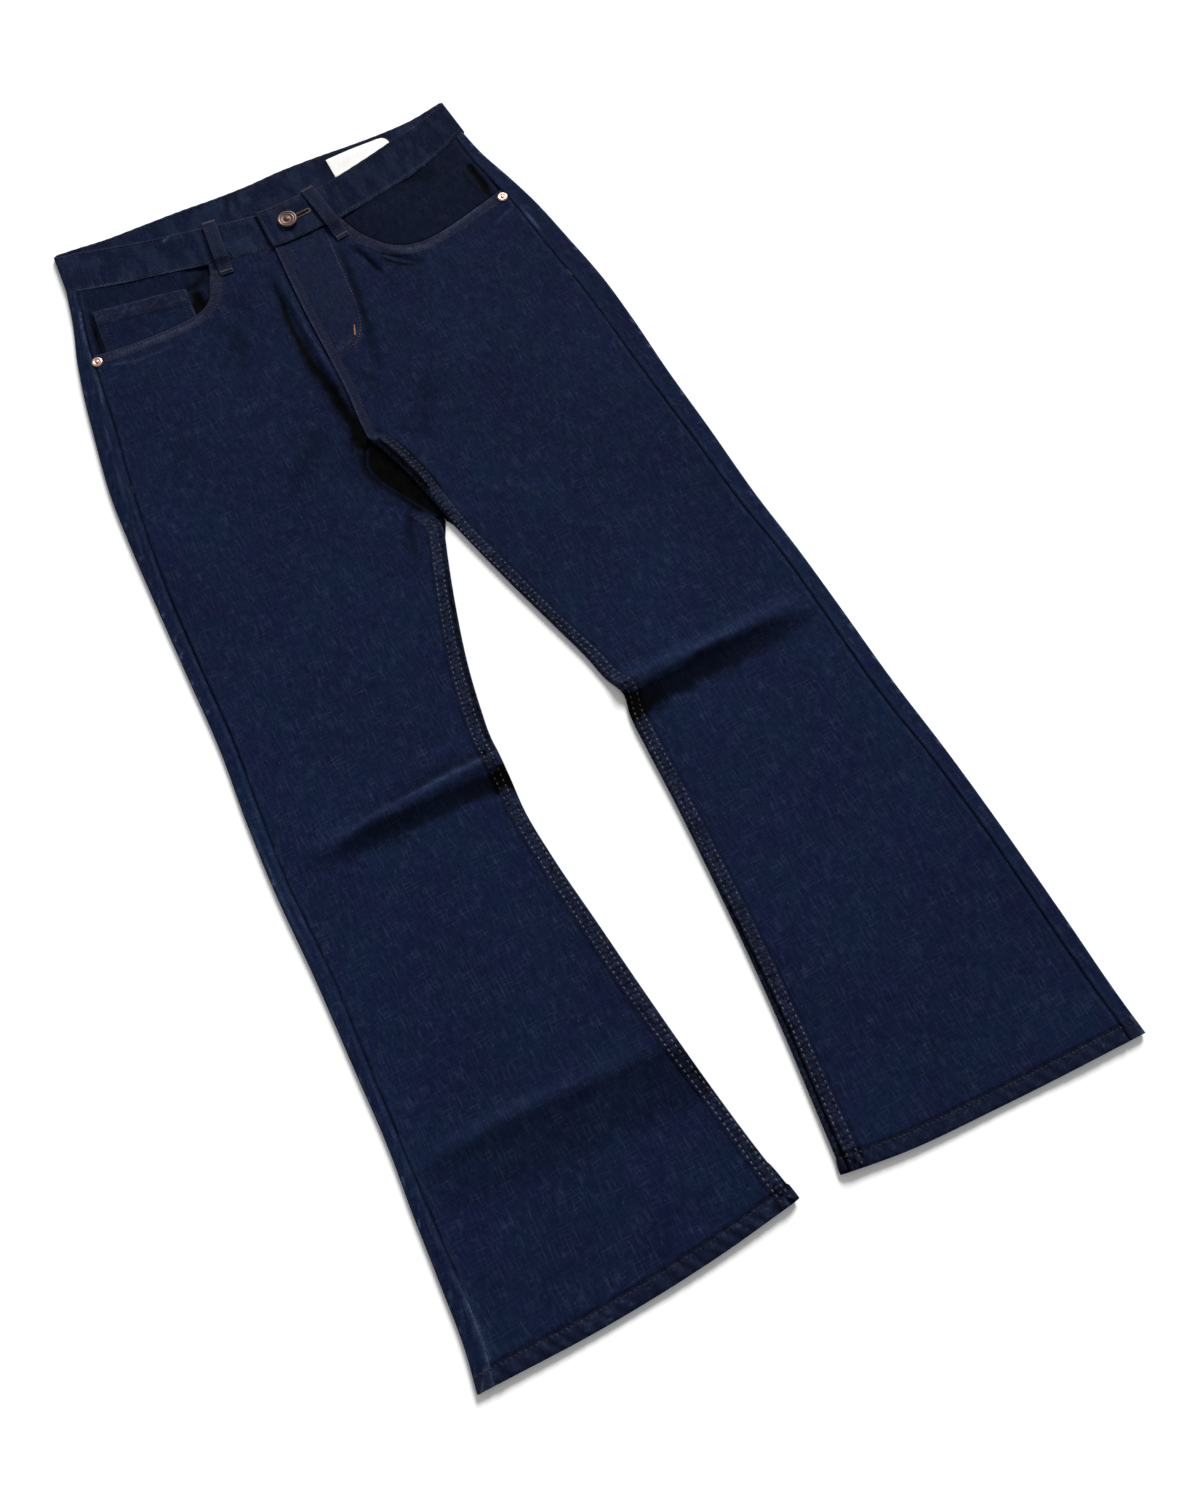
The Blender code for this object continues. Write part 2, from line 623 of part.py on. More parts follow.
def back_panel(side):
    """From the hem to the yoke seam."""
    rows = rows_of(BACK_ROWS)
    sections = [back_section(side, y, lambda x, _, y=y: y + hem_sway(side, x, y)) for y in rows]
    top = rows[-1]
    for share in (0.5, 1.0):

        def edge(x, _, share=share):
            return top + share * (yoke_line(x) - SEAM_GAP / 2 - top)

        sections.append(back_section(side, top + share * (YOKE_SIDE_Y - top), edge))
    outer = np.array(sections)
    thickness = CLOTH + (HEM_CLOTH - CLOTH) * hem_share(outer[..., 1])
    under_front = np.ones(outer.shape[:2])
    rolled_rows = outer[:, 0, 2] > SEAM_GAP
    under_front[rolled_rows, :4] = outer[rolled_rows, 0, 2][:, None]
    return wall("back_" + side, "denim", outer, thickness, (5, 6, -1), inner_high=under_front)


def yoke(side):
    """From the yoke seam to the waistband."""
    sections = []
    for share in np.linspace(0, 1, YOKE_ROW_COUNT):

        def edge(x, up, share=share):
            low = yoke_line(x) + SEAM_GAP / 2
            high = (1 - up) * band_back_low(x) + up * band_low(x) - SEAM_GAP
            return low + share * (high - low)

        side_y = YOKE_SIDE_Y + share * (BAND_SIDE_Y - YOKE_SIDE_Y)
        sections.append(back_section(side, side_y, edge, YOKE_FLOOR_COLUMNS))
    return wall("yoke_" + side, "denim", np.array(sections), CLOTH, (1, 6, -1))


def crotch_fold():
    """The stretch of the backs that turns up between the legs, between the two inseams."""
    shares = np.linspace(0, 1, 7)
    outer = []
    for climb in np.linspace(0, 1, 9):
        y = CROTCH_FOLD_Y[0] + climb * (CROTCH_FOLD_Y[1] - CROTCH_FOLD_Y[0])
        left_x, right_x = front_edge("left", y) - SEAM_GAP, front_edge("right", y) + SEAM_GAP
        x = right_x + shares * (left_x - right_x)
        rise = CROTCH_FOLD_RISE * ease(climb) + CROTCH_FOLD_DISH * (2 * shares - 1) ** 2
        height = CLOTH + SEAM_GAP + CLOTH + rise
        outer.append(np.stack([x, np.full(7, y), height], axis=1))
    return wall("crotch_fold", "denim", outer, CLOTH, (3, 3, 1))


# Waistband


def band_face(x):
    """Height of the front half's upper face: it rises over the underlap."""
    lap = BAND_CLOTH + SEAM_GAP
    return BAND_TOP + lap * ease((LAP_START_X + LAP_FADE - x) / LAP_FADE)


def waistband():
    """One strip from the buttonhole end over the left front, round the back and on to the button end."""
    radius = BAND_TOP / 2
    straight = BAND_SIDE - radius
    bend = np.radians(BEND_TURNS[:5])
    path = [(x, band_face(x)) for x in np.linspace(BAND_END_X, straight, 15)]
    path += [(straight + radius * math.sin(a), radius * (1 + math.cos(a))) for a in bend]
    path += [(x, 0.0) for x in np.linspace(straight, -straight, 15)]
    path += [(-straight - radius * math.sin(a), radius * (1 - math.cos(a))) for a in bend]
    path += [(x, BAND_TOP) for x in np.linspace(-straight, UNDERLAP_END_X, 13)]
    up, edge_taper = (np.array(steps) for steps in zip(*BAND_STEPS))
    outer = []
    for x, z in path:
        front = min(z / BAND_TOP, 1.0)
        back_top = column(BAND, "back_top", x)
        low = front * column(BAND, "front_low", x) + (1 - front) * (back_top - BAND_HEIGHT)
        top = front * column(BAND, "front_top", x) + (1 - front) * back_top
        flare = 1 + (BAND_FLARE - 1) * (1 - up)
        outer.append(np.stack([x * flare, low + up * (top - low), np.full(len(up), z)], axis=1))
    return wall("waistband", "band_denim", outer, BAND_CLOTH * edge_taper, (8, 2, 1))


# Pockets


def mouth_depth(side, x, y):
    """How far a point lies inside the pocket mouth; negative under the front panel."""
    sign = SIDES[side]
    line = resampled([(sign * p.x * MM, p.y * MM) for p in MOUTHS[side]], 80)
    away = np.sqrt((x[..., None] - line[:, 0]) ** 2 + (y[..., None] - line[:, 1]) ** 2).min(axis=-1)
    level = through(np.abs(x), np.abs(line[:, 0]), line[:, 1])
    exposed = (y > level) & (np.abs(x) > MOUTHS[side][0].x * MM)
    return np.where(exposed, away, -away)


def facing_height(side, x, y):
    """Upper face of a facing: sunk under the front panel's edge, nearly level with it further in."""
    sunk = CLOTH + SEAM_GAP + (COIN_CLOTH + SEAM_GAP if side == "right" else 0)
    share = 1 - FACING_RISE * ease((mouth_depth(side, x, y) - 4 * MM) / FACING_RISE_REACH)
    return np.minimum(fold_height(y), front_height(x, y, side)) - sunk * share


def pocket_facing(side):
    """Denim behind the pocket mouth, from the waistband and outseam to under the front panel."""
    sign = SIDES[side]
    mouth = np.array([(p.x * MM, p.y * MM) for p in MOUTHS[side]])
    tangent = np.gradient(mouth, axis=0)
    tangent /= np.linalg.norm(tangent, axis=1, keepdims=True)
    tucked = mouth + FACING_TUCK * np.stack([tangent[:, 1], -tangent[:, 0]], axis=1)
    tucked[0] = (mouth[0, 0] - FACING_TUCK, band_low(sign * (mouth[0, 0] - FACING_TUCK)) - SEAM_GAP)
    tucked[-1, 0] = outseam(side, tucked[-1, 1]) - SEAM_GAP
    low = resampled(tucked[MOUTH_BEND:], 10)
    start = resampled(tucked[MOUTH_BEND::-1], 8)
    corner_y = band_low(sign * (outseam(side, BAND_SIDE_Y) - SEAM_GAP)) - SEAM_GAP
    seam_y = np.linspace(low[-1, 1], corner_y, 8)
    end = np.stack([outseam(side, seam_y) - SEAM_GAP, seam_y], axis=1)
    top_x = np.linspace(start[-1, 0], end[-1, 0], 10)
    high = np.stack([top_x, band_low(sign * top_x) - SEAM_GAP], axis=1)
    plan = filled(low, high, start, end)
    x, y = sign * plan[..., 0], plan[..., 1]
    outer = np.stack([x, y, facing_height(side, x, y)], axis=2)
    return wall("pocket_facing_" + side, "pocket_denim", outer, CLOTH, (3, 3, 1))


def coin_pocket():
    """The small pocket on the right facing; its lower edge lies under the front panel."""
    inner_low, inner_top, outer_top, outer_low = (np.array(c) * MM for c in COIN_CORNERS)
    low = np.linspace(outer_low, inner_low, 9)
    high = np.linspace(outer_top, inner_top, 9)
    start = np.linspace(outer_low, outer_top, 8)
    end = np.linspace(inner_low, inner_top, 8)
    plan = filled(low, high, start, end)
    x, y = plan[..., 0], plan[..., 1]
    height = facing_height("right", x, y) + SEAM_GAP + COIN_CLOTH
    outer = np.stack([x, y, height], axis=2)
    return wall("coin_pocket", "pocket_denim", outer, COIN_CLOTH, (3, 3, 1))


# Belt loops and label


def belt_loop(line):
    """A strip stitched down at both ends, over the waistband."""
    top = np.array((line.top_x, line.top_y)) * MM
    low = np.array((line.low_x, line.low_y)) * MM
    along = (top - low) / np.linalg.norm(top - low)
    across = np.array((along[1], -along[0]))
    offsets, taper = (np.array(steps) for steps in zip(*LOOP_STEPS))
    outer = []
    for share in np.linspace(0, 1, 13):
        middle = low + share * (top - low)
        place = middle + offsets[:, None] * LOOP_WIDTH * across
        on_band = ease((share - LOOP_CLIMB[0]) / (LOOP_CLIMB[1] - LOOP_CLIMB[0]))
        panel = front_height(place[:, 0], place[:, 1], line.side)
        rest = (1 - on_band) * panel.max() + on_band * band_face(middle[0] - LOOP_WIDTH / 2)
        bow = LOOP_BOW * math.sin(math.pi * share) ** 2
        height = rest + SEAM_GAP + LOOP_CLOTH + bow
        outer.append(np.stack([place[:, 0], place[:, 1], np.full(len(taper), height)], axis=1))
    return wall("belt_loop_" + line.side, "pocket_denim", outer, LOOP_CLOTH * taper, (6, 2, 1))


def waist_label():
    """A bare woven label on the inside of the back half of the waistband."""
    height = BAND_CLOTH + SEAM_GAP + LABEL_CLOTH
    outer = [[(x, y, height) for x in np.linspace(*LABEL_X, 5)] for y in np.linspace(*LABEL_Y, 3)]
    return wall("waist_label", "label_cloth", outer, LABEL_CLOTH, (1, 1, 1))


# Metal


def turned(name, finish, profile, radius, place, base, steps):
    """A round piece turned about Z from its profile, closed at the axis."""
    shape = bmesh.new()
    points = [shape.verts.new((share * radius, 0, height * MM)) for share, height in profile]
    edges = [shape.edges.new(pair) for pair in zip(points, points[1:])]
    whole = {"cent": (0, 0, 0), "axis": (0, 0, 1), "angle": math.tau, "steps": steps}
    bmesh.ops.spin(shape, geom=points + edges, use_merge=True, **whole)
    bmesh.ops.remove_doubles(shape, verts=shape.verts, dist=0.01 * MM)
    bmesh.ops.recalc_face_normals(shape, faces=shape.faces)
    bmesh.ops.translate(shape, verts=shape.verts, vec=(place[0], place[1], base))
    return placed(name, finish, shape)


def button():
    """The metal shank button on the waistband: a flat rim, a dished face and a centre dot."""
    base = band_face(BUTTON_PLACE[0]) + SEAM_GAP
    return turned("button", "button_metal", BUTTON_PROFILE, BUTTON_RADIUS, BUTTON_PLACE, base, 32)


def rivet(side):
    """A copper rivet at the outer end of a pocket mouth: a domed ring round a small nub."""
    place = RIVET_PLACES[side]
    base = fold_height(place[1]) + SEAM_GAP
    return turned("rivet_" + side, "rivet_metal", RIVET_PROFILE, RIVET_RADIUS, place, base, 20)


def main():
    clear_scene()
    for side in SIDES:
        back_panel(side)
        yoke(side)
        front_panel(side)
        pocket_facing(side)
        rivet(side)
    crotch_fold()
    waistband()
    coin_pocket()
    for line in LOOPS:
        belt_loop(line)
    waist_label()
    button()


main()
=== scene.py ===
"""Bootcut jeans laid flat with the front up: cloth, topstitching, metal trims and a plain stage.

The jeans lie along Y on the plane z = 0, with the waist at +Y. Right and left are the wearer's, so the right
leg is on the -X side. Lengths are in millimetres, and are scaled to metres where a mesh or a material is
written.
"""

import math
from collections import namedtuple
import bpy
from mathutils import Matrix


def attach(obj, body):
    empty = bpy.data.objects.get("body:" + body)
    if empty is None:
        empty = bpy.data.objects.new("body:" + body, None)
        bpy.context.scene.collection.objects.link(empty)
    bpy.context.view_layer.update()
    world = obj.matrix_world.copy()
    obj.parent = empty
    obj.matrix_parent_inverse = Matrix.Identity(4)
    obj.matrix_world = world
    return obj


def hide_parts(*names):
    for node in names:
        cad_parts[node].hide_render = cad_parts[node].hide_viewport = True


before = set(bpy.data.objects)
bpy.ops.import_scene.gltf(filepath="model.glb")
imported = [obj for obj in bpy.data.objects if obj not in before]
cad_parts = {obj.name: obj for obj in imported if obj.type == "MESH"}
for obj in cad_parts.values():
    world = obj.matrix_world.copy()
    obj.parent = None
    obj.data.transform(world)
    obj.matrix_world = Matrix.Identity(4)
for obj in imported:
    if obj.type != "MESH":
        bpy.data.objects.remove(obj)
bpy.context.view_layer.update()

from types import SimpleNamespace

import bpy
import numpy as np
from bpy.props import FloatProperty, FloatVectorProperty, PointerProperty
from mathutils import Matrix, Vector

bl_info = {
    "name": "Bootcut jeans",
    "version": (1, 0, 0),
    "blender": (4, 5, 0),
    "location": "View3D > Sidebar > Jeans",
    "description": "Builds bootcut jeans laid flat, with their topstitching, trims and a studio stage",
    "category": "Object",
}

MM = 0.001


def table(columns, *rows):
    """Rows of values with named columns."""
    Row = namedtuple("Row", columns)
    return [Row(*row) for row in rows]


# Cloth and gaps, as the solids have them
CLOTH = 1.2
SEAM_GAP = 0.3
HEM_CLOTH = 2.4
HEM_DEPTH = 13
HEM_STEP = 2.5
INSEAM_ROLL = 2.4
ROLL_FADE = 7
MID_SAG = 0.9
SAG_FADE = 40

# Landmarks along the body
CROTCH_Y = 209
FORK_Y = 106
POCKET_ZONE_Y = 330
LEVEL_HEM_Y = -506
HEM_SWAY_REACH = 70
CROTCH_FOLD_Y = (112, 200)
YOKE_CENTRE_Y = 402
YOKE_SIDE_Y = 432
BAND_SIDE_Y = 477

# Waistband
BAND_CLOTH = 2.4
BAND_TOP = 6.4
BAND_HEIGHT = 46
BAND_SIDE = 198.6
BAND_FLARE = 1.016
BAND_END_X = -15
UNDERLAP_END_X = 28
LAP_START_X = 32
LAP_FADE = 20

# Fly and rise seam
FLY_RAISE = 1.0
FLY_EDGE = 3
FLY_STEP = 0.5
FLY_STEP_WIDTH = 9
FLY_STEP_FADE = 12

# Pockets, loops, trims
FACING_TUCK = 9
FACING_RISE = 0.75
FACING_RISE_REACH = 30
COIN_CLOTH = 1.0
LOOP_WIDTH = 12.5
LOOP_CLOTH = 1.6
LOOP_BOW = 1.4
LOOP_CLIMB = (0.14, 0.28)
LABEL_CLOTH = 1.0
BUTTON_RADIUS = 9.2
BUTTON_PLACE = (8.5, 454.5)
RIVET_RADIUS = 4.9
RIVET_PLACES = {"right": (-203.5, 393.5), "left": (198.0, 387.0)}
LABEL_X = (70, 132.4)
LABEL_Y = (484.6, 508.8)

SIDES = {"right": -1, "left": 1}

# The outer fold of each leg, how far the back panel wraps over it, and the height of the fold
OUTLINE = table(
    "y right left wrap_right wrap_left height",
    (-506, 271.8, 271.8, 14, 14, 6), (-480, 267.4, 270.2, 14.2, 13.6, 5.4),
    (-430, 263.9, 269.4, 13.1, 14.1, 4.9), (-380, 261.1, 268.3, 11.7, 13.4, 4.8),
    (-340, 258, 267.2, 10.2, 13.3, 4.8), (-270, 256.4, 264, 11.1, 14.2, 4.6),
    (-200, 255.1, 258.8, 12.7, 15.7, 4.6), (-120, 255.3, 255.6, 11.8, 15, 4.9),
    (-60, 252.8, 252.8, 12.6, 14.3, 4.6), (0, 248.4, 248.2, 12.6, 16, 4.6),
    (80, 247.2, 245.6, 12.8, 17.9, 4.6), (150, 246.2, 242.6, 13.6, 19.4, 4.8),
    (210, 244.9, 241.8, 16.7, 22, 5), (260, 242.5, 239.4, 19.5, 22.6, 5.2),
    (320, 234.6, 231.6, 20.1, 21.8, 5.5), (370, 226.6, 223.8, 17.8, 18.7, 5.9),
    (410, 218.2, 214.4, 13.6, 16, 6), (445, 208.6, 205, 10.5, 12.5, 6), (478, 202, 200, 10, 10, 6.2),
)

# The inner edge of each leg, from the hem to the fork
INSIDE_LEG = table(
    "y right left",
    (-506, -16.2, 21.6), (-460, -23.8, 27.4), (-400, -32.2, 35.2), (-335, -39.8, 42), (-260, -47.6, 48),
    (-200, -53.8, 51.8), (-155, -55.9, 53.6), (-125, -53.6, 55.4), (-105, -52.4, 59.4), (-88, -52, 53.2),
    (-65, -48.6, 48.6), (-25, -40.8, 37.8), (25, -27.2, 24), (75, -11.2, 11.4), (90, -6, 7.8),
)

# The inseam edges of the two front panels from the fork up to the crotch point
FRONT_FORK = table(
    "y right left",
    (100, -3.4, 5.8), (110, -4.6, 3.8), (120, -9.6, 1.6), (136, -18.2, -1.6), (152, -26.6, -4.6),
    (168, -33.8, -8.6), (184, -36.4, -13.2), (198, -30.6, -18), (209, -23.4, -22.6),
)

# The front rise seam, from the crotch point to the waistband
FRONT_RISE = table(
    "y x",
    (209, -23), (225, -22.6), (262, -19.6), (300, -18.8), (350, -18.4), (400, -16.4), (440, -13.8),
)

# The back inseam edges close up to the fork, where the seat seam starts
BACK_FORK = table(
    "y right left",
    (100, -0.8, 5.2), (106, 1.85, 2.15),
)
FORK_X = 2.0
BACK_ROLL_FADE = 5

# Slanted hem lines
HEM_LINES = {
    "right": table("x y", (16, -504), (80, -509.5), (170, -512), (271, -508)),
    "left": table("x y", (21, -504.5), (60, -511.5), (150, -519.5), (271, -526)),
}

# Waistband edges
BAND = table(
    "x front_low front_top back_top",
    (-200, 478, 520.5, 526.4), (-178, 471.5, 516, 524.5), (-150, 464, 508, 521.5),
    (-115, 456, 498.5, 520.5), (-75, 446.5, 490, 519.5), (-40, 439.5, 482.5, 517.5),
    (-10, 433.5, 477.5, 517), (25, 434, 478, 518.6), (60, 438.5, 481.5, 517.9), (100, 445, 489.5, 515.5),
    (135, 452, 498, 514.5), (165, 462, 505, 516), (184, 471, 511.5, 519.5), (200, 478, 518, 523),
)

# The scooped pocket mouths, from the waistband to the outseam
MOUTHS = {
    "right": table(
        "x y",
        (75, 446), (79, 432), (84, 418.5), (91, 407.5), (102, 400.5), (119, 397.5), (142, 396.5),
        (168, 397), (189, 399), (203.5, 401),
    ),
    "left": table(
        "x y",
        (54, 437.5), (58, 424), (64, 410.5), (72, 398), (83, 386.5), (98, 379), (118, 377), (142, 380.5),
        (168, 387), (200.5, 395.5),
    ),
}
MOUTH_BEND = 4

# The curved edge of the fly's topstitched plateau on the left front
FLY_PLATEAU = table(
    "y x",
    (297.5, -22), (300, 0), (304, 10.5), (312, 17), (322, 21.8), (341, 26.4), (372, 29.8), (410, 33.2),
    (440, 36),
)

# Coin pocket corners, from its lower inner corner round
COIN_CORNERS = table("x y", (-107, 390), (-104, 431), (-188, 446), (-194, 390))

# Belt loop centre lines: the end over the band's top edge and the end below the band
LOOPS = table(
    "side top_x top_y low_x low_y",
    ("right", -57.5, 488, -64, 427.5),
    ("left", 38.5, 480.5, 47, 414.5),
)

# Profiles of the button and the rivets: radius as a share of the piece's own, height in millimetres
BUTTON_PROFILE = [
    (0.55, 0), (0.8, 0.35), (0.94, 1), (1, 1.6), (0.99, 2.1), (0.94, 2.55), (0.87, 2.75), (0.8, 2.7),
    (0.75, 2.35), (0.7, 2.25), (0.66, 2.5), (0.6, 2.55), (0.55, 2.3), (0.38, 2.15), (0.3, 2.2),
    (0.25, 2.6), (0.2, 2.95), (0.1, 3.1),
]
RIVET_PROFILE = [
    (0.9, 0), (1, 0.1), (1, 0.35), (0.96, 0.65), (0.86, 0.95), (0.72, 1.1), (0.58, 1), (0.5, 0.75),
    (0.42, 0.62), (0.35, 0.7), (0.32, 1.2), (0.26, 1.5), (0.13, 1.65),
]

# Ridges and, with a negative height, troughs: first those of the solids, then the finer creases
FOLDS = table(
    "x1 y1 x2 y2 height width",
    (-44, -105, -222, -111, 5.2, 8), (-48, -126, -212, -129, -1.2, 8.5),  # right knee
    (-70, -82, -190, -90, 0.9, 6),
    (52, -99, 232, -104, 5.8, 8), (56, -122, 222, -123, -1.3, 8.5),  # left knee
    (90, -80, 200, -84, 0.7, 7),
    (-45, -360, -264, -353, 1.5, 8), (-50, -375, -256, -368, -0.8, 7),  # right shin
    (-33, 398, -31, 236, -2.4, 4.6), (-24, 392, -25, 228, 1, 3.4),  # beside the fly
    (51, 398, 61, 360, -1.7, 3.2), (68, 384, 100, 355, -1.9, 3.4),  # below the left pocket mouth
    (60, 392, 82, 358, 0.9, 4),
    (-17, 205, -2, 168, 2.6, 7), (-2, 168, 14, 96, 2.2, 7),  # left inseam by the crotch
    (-58, 196, -34, 128, -1, 12), (-120, 240, -60, 205, 0.6, 12),  # right thigh dips into the fork
    (40, 232, 110, 252, 0.6, 12),
)
CREASES = table(
    "x1 y1 x2 y2 height width",
    (-60, -100, -180, -104, -0.5, 2.6), (-92, -131, -170, -133, 0.5, 5),  # thin crease over the right knee
    (70, -93, 190, -99, -0.4, 3), (84, -132, 168, -131, 0.5, 5.5),
    (-95, -470, -130, -485, -0.5, 5), (-150, -430, -214, -447, 0.4, 11),  # above the right hem
    (120, -455, 196, -474, -0.4, 10), (176, -408, 236, -424, 0.4, 12),  # above the left hem
    (-80, 372, -104, 330, -0.5, 6), (-150, 372, -176, 318, 0.4, 9),  # right hip
    (-60, 410, -66, 376, -0.7, 4), (-34, 430, -36, 402, -0.6, 4.5),
    (112, 358, 150, 330, 0.5, 9), (40, 300, 70, 268, -0.4, 9), (4, 292, 22, 262, -0.4, 6),  # left hip
    (-52, 220, -104, 190, -0.5, 9), (-44, 232, -92, 250, 0.4, 7),  # rays from the crotch
    (-8, 222, 46, 204, 0.5, 7), (-4, 208, 40, 172, -0.5, 6),
    (-70, 60, -170, 48, 0.3, 16), (80, 40, 190, 62, -0.3, 18),  # thighs
    (-90, -220, -210, -236, -0.3, 15), (90, -246, 200, -232, 0.3, 16),  # calves
    (140, -330, 240, -344, -0.3, 12),
)
FOLD_START_FADE, FOLD_START_SHARE = 0.18, 0.5
FOLD_END_FADE, FOLD_END_SHARE = 0.3, 0.2

# Brush strokes of painted shade, and of painted highlight and rubbed wear: points with the stroke's half
# width and its strength there
SHADOWS = {
    "right": [
        # painted shade in the deep fold beside the fly, which widens to black towards the crotch
        [(-30, 402, 2, 0.3), (-32, 380, 2.8, 0.9), (-35.5, 354, 3.6, 1.1), (-36, 330, 4.4, 1.1),
         (-36, 307, 5.4, 1.2), (-33, 279, 6.4, 1.25), (-30, 252, 7, 1.3), (-28, 208, 8, 1.3)],
        [(-36, 212, 6, 0.6), (-39, 192, 5, 0.35), (-36, 168, 4, 0.2), (-25, 146, 4, 0.2),
         (-14, 124, 4, 0.5)],
        # beside the inseam
        [(-22, 128, 3.5, 0.3), (-26, 119, 3.6, 0.8), (-32, 101, 3.4, 0.7), (-38, 80, 3, 0.1)],
        [(-60, -99, 4.2, 0.6), (-92, -96.5, 4.6, 0.7), (-120, -98, 4.6, 0.6), (-147, -100, 4.4, 0.5),
         (-180, -101, 4, 0.2)],
        [(-84, 412, 3, 0.1), (-66, 392, 6, 0.4), (-62, 360, 7, 0.1)],
        [(-100, 392, 4, 0.2), (-84, 352, 8, 0.4), (-96, 318, 9, 0.1)],
        [(-54, 250, 8, 0.1), (-70, 222, 9, 0.4), (-96, 196, 11, 0.1)],
    ],
    "left": [
        [(40, 410, 3.2, 0.5), (35.5, 380, 3.6, 0.8), (32, 355, 3.8, 0.85), (28, 330, 4, 0.85),
         (22.5, 300, 4.2, 0.6), (19, 280, 4, 0.3), (15, 262, 4, 0.1)],
        # below the pocket mouth
        [(50, 404, 1.6, 0.4), (55, 391, 1.8, 1), (60, 371, 2, 1), (64, 352, 1.8, 0.2)],
        [(67, 383, 1.6, 0.4), (73, 371, 2, 1.2), (85, 361, 2.2, 1.2), (98, 356.5, 1.8, 0.5),
         (106, 356, 1.6, 0.1)],
        [(-14, 216, 3, 0.4), (-5.6, 193, 3.2, 0.9), (2.4, 172, 3.4, 0.9), (8, 146, 3.4, 0.8),
         (15, 124, 3, 0.2)],
        [(58, 250, 9, 0.1), (40, 222, 10, 0.35), (24, 196, 9, 0.1)],
        [(-6, 292, 5, 0.1), (4, 262, 6, 0.35), (0, 236, 6, 0.1)],
    ],
}
LIGHTS = {
    "right": [
        # on the rise seam
        [(-24, 372, 1.6, 0.1), (-24.6, 330, 1.8, 0.35), (-21.8, 284, 1.8, 0.1)],
        [(-192, 392, 2.2, 0.3), (-176, 392, 2.6, 0.4), (-153, 392, 2.8, 0.5), (-120, 391, 2.8, 0.45),
         (-97, 392, 2, 0.2)],
        [(-193, 385, 1.5, 0.4), (-173, 379, 1.5, 0.3), (-150, 378, 1.4, 0.3), (-134, 378, 1.4, 0.1)],
        # painted highlight on the knee's ridge
        [(-56, -105, 2, 0.4), (-78, -104, 2.2, 0.3), (-98, -102.7, 2.4, 0.4), (-118, -104, 2.2, 0.3),
         (-139, -103, 2, 0.2), (-170, -104, 2, 0.05)],
        # painted highlight on the shin's ridge
        [(-74, -361, 3, 0.05), (-115, -357, 4, 0.1), (-156, -352, 4, 0.1), (-225, -350, 3, 0.05)],
    ],
    "left": [
        # pocket hem
        [(127, 375.8, 1.8, 0.3), (143, 379.6, 2.2, 0.8), (160, 384, 2.2, 0.8), (187, 389.5, 1.8, 0.4)],
        [(71, 399, 2.4, 0.1), (81, 385, 2.6, 0.3), (93, 374, 3, 0.45), (112, 370, 3, 0.45),
         (130, 372, 2.4, 0.3)],
        [(181, 364, 1.4, 0.2), (191, 369, 1.5, 0.4), (200, 372, 1.4, 0.2)],
        # painted highlight on the knee's ridge
        [(61, -102.8, 1.6, 0.1), (82, -104, 1.8, 0.18), (111, -102.8, 1.8, 0.2), (143, -100, 1.8, 0.2),
         (176, -104, 1.8, 0.15), (212, -108, 1.6, 0.08)],
        [(-19, 196, 0.8, 0.4), (-12, 178, 0.8, 0.5), (-6, 152, 0.8, 0.4), (-3.5, 140, 0.8, 0.1)],
        # inseam by the crotch
        [(-10, 202, 2, 0.3), (-3, 186, 2, 0.25), (1, 168, 2, 0.1)],
    ],
}

# Tobacco tint round the lower end of the fly
FLY_BROWNS = [
    [(-15, 322, 4, 0.3), (-12, 313, 4.5, 0.8), (-3, 306, 4, 0.9), (8, 307, 3.5, 0.8), (15, 314, 3, 0.6)],
]

# Bands of painted shade under the front's cross folds: their crisp upper and soft lower edges, and how dark
# they are
BANDS = {
    "right": [
        table(
            "x top low strength",
            (-45, -112, -138, 0.95), (-61, -115, -134, 0.98), (-105, -114, -131, 0.76),
            (-142, -112, -131, 0.7), (-177, -109, -129, 0.58), (-193, -115, -129, 0.42),
            (-212, -115, -128, 0.2), (-232, -115, -126, 0),
        ),
        table(
            "x top low strength",
            (-45, -370, -412, 0.42), (-96, -365, -408, 0.36), (-156, -360, -402, 0.32),
            (-230, -359, -396, 0.2), (-254, -359, -392, 0),
        ),
    ],
    "left": [
        table(
            "x top low strength",
            (54, -103, -132, 0.95), (66, -107.5, -131, 1.05), (101, -107.5, -130, 0.9),
            (134, -105, -130, 0.82), (173, -109, -130, 0.66), (197, -110, -127, 0.55),
            (213, -110, -126, 0.5), (228, -113, -124, 0.3), (240, -113, -121, 0),
        ),
    ],
}


def size(name, description, value):
    """A length property whose default is given in millimetres."""
    return FloatProperty(name=name, description=description, default=value * MM, unit="LENGTH")


def angle(name, description, degrees):
    """An angle property whose default is given in degrees."""
    return FloatProperty(name=name, description=description, default=math.radians(degrees), subtype="ANGLE")


def colour(name, description, value):
    """A colour property in linear red, green and blue."""
    limits = {"min": 0, "max": 1}
    return FloatVectorProperty(name=name, description=description, default=value, subtype="COLOR", **limits)


class JeansClothSizes(bpy.types.PropertyGroup):
    """Sizes of the cloth's surface."""

    cell: size("Mesh cell", "Spacing of the cloth's grid", 2.3)
    lumps: size("Lumps", "Height of the broad hills of the cloth", 0.45)
    pucker: size("Seam pucker", "Height of the ripples along a seam", 0.28)
    roping: size("Hem roping", "Height of the slanted ripples in a hem", 0.42)
    fell_raise: size("Fell raise", "Height of the felled inseam", 0.55)
    seam_ridge: size("Outseam ridge", "Height of the pressed outseam", 0.35)
    groove: size("Stitch groove", "Depth that a row of stitches sinks", 0.25)
    mouth_hem: size("Pocket hem", "Width of the turned edge of a pocket mouth", 11)


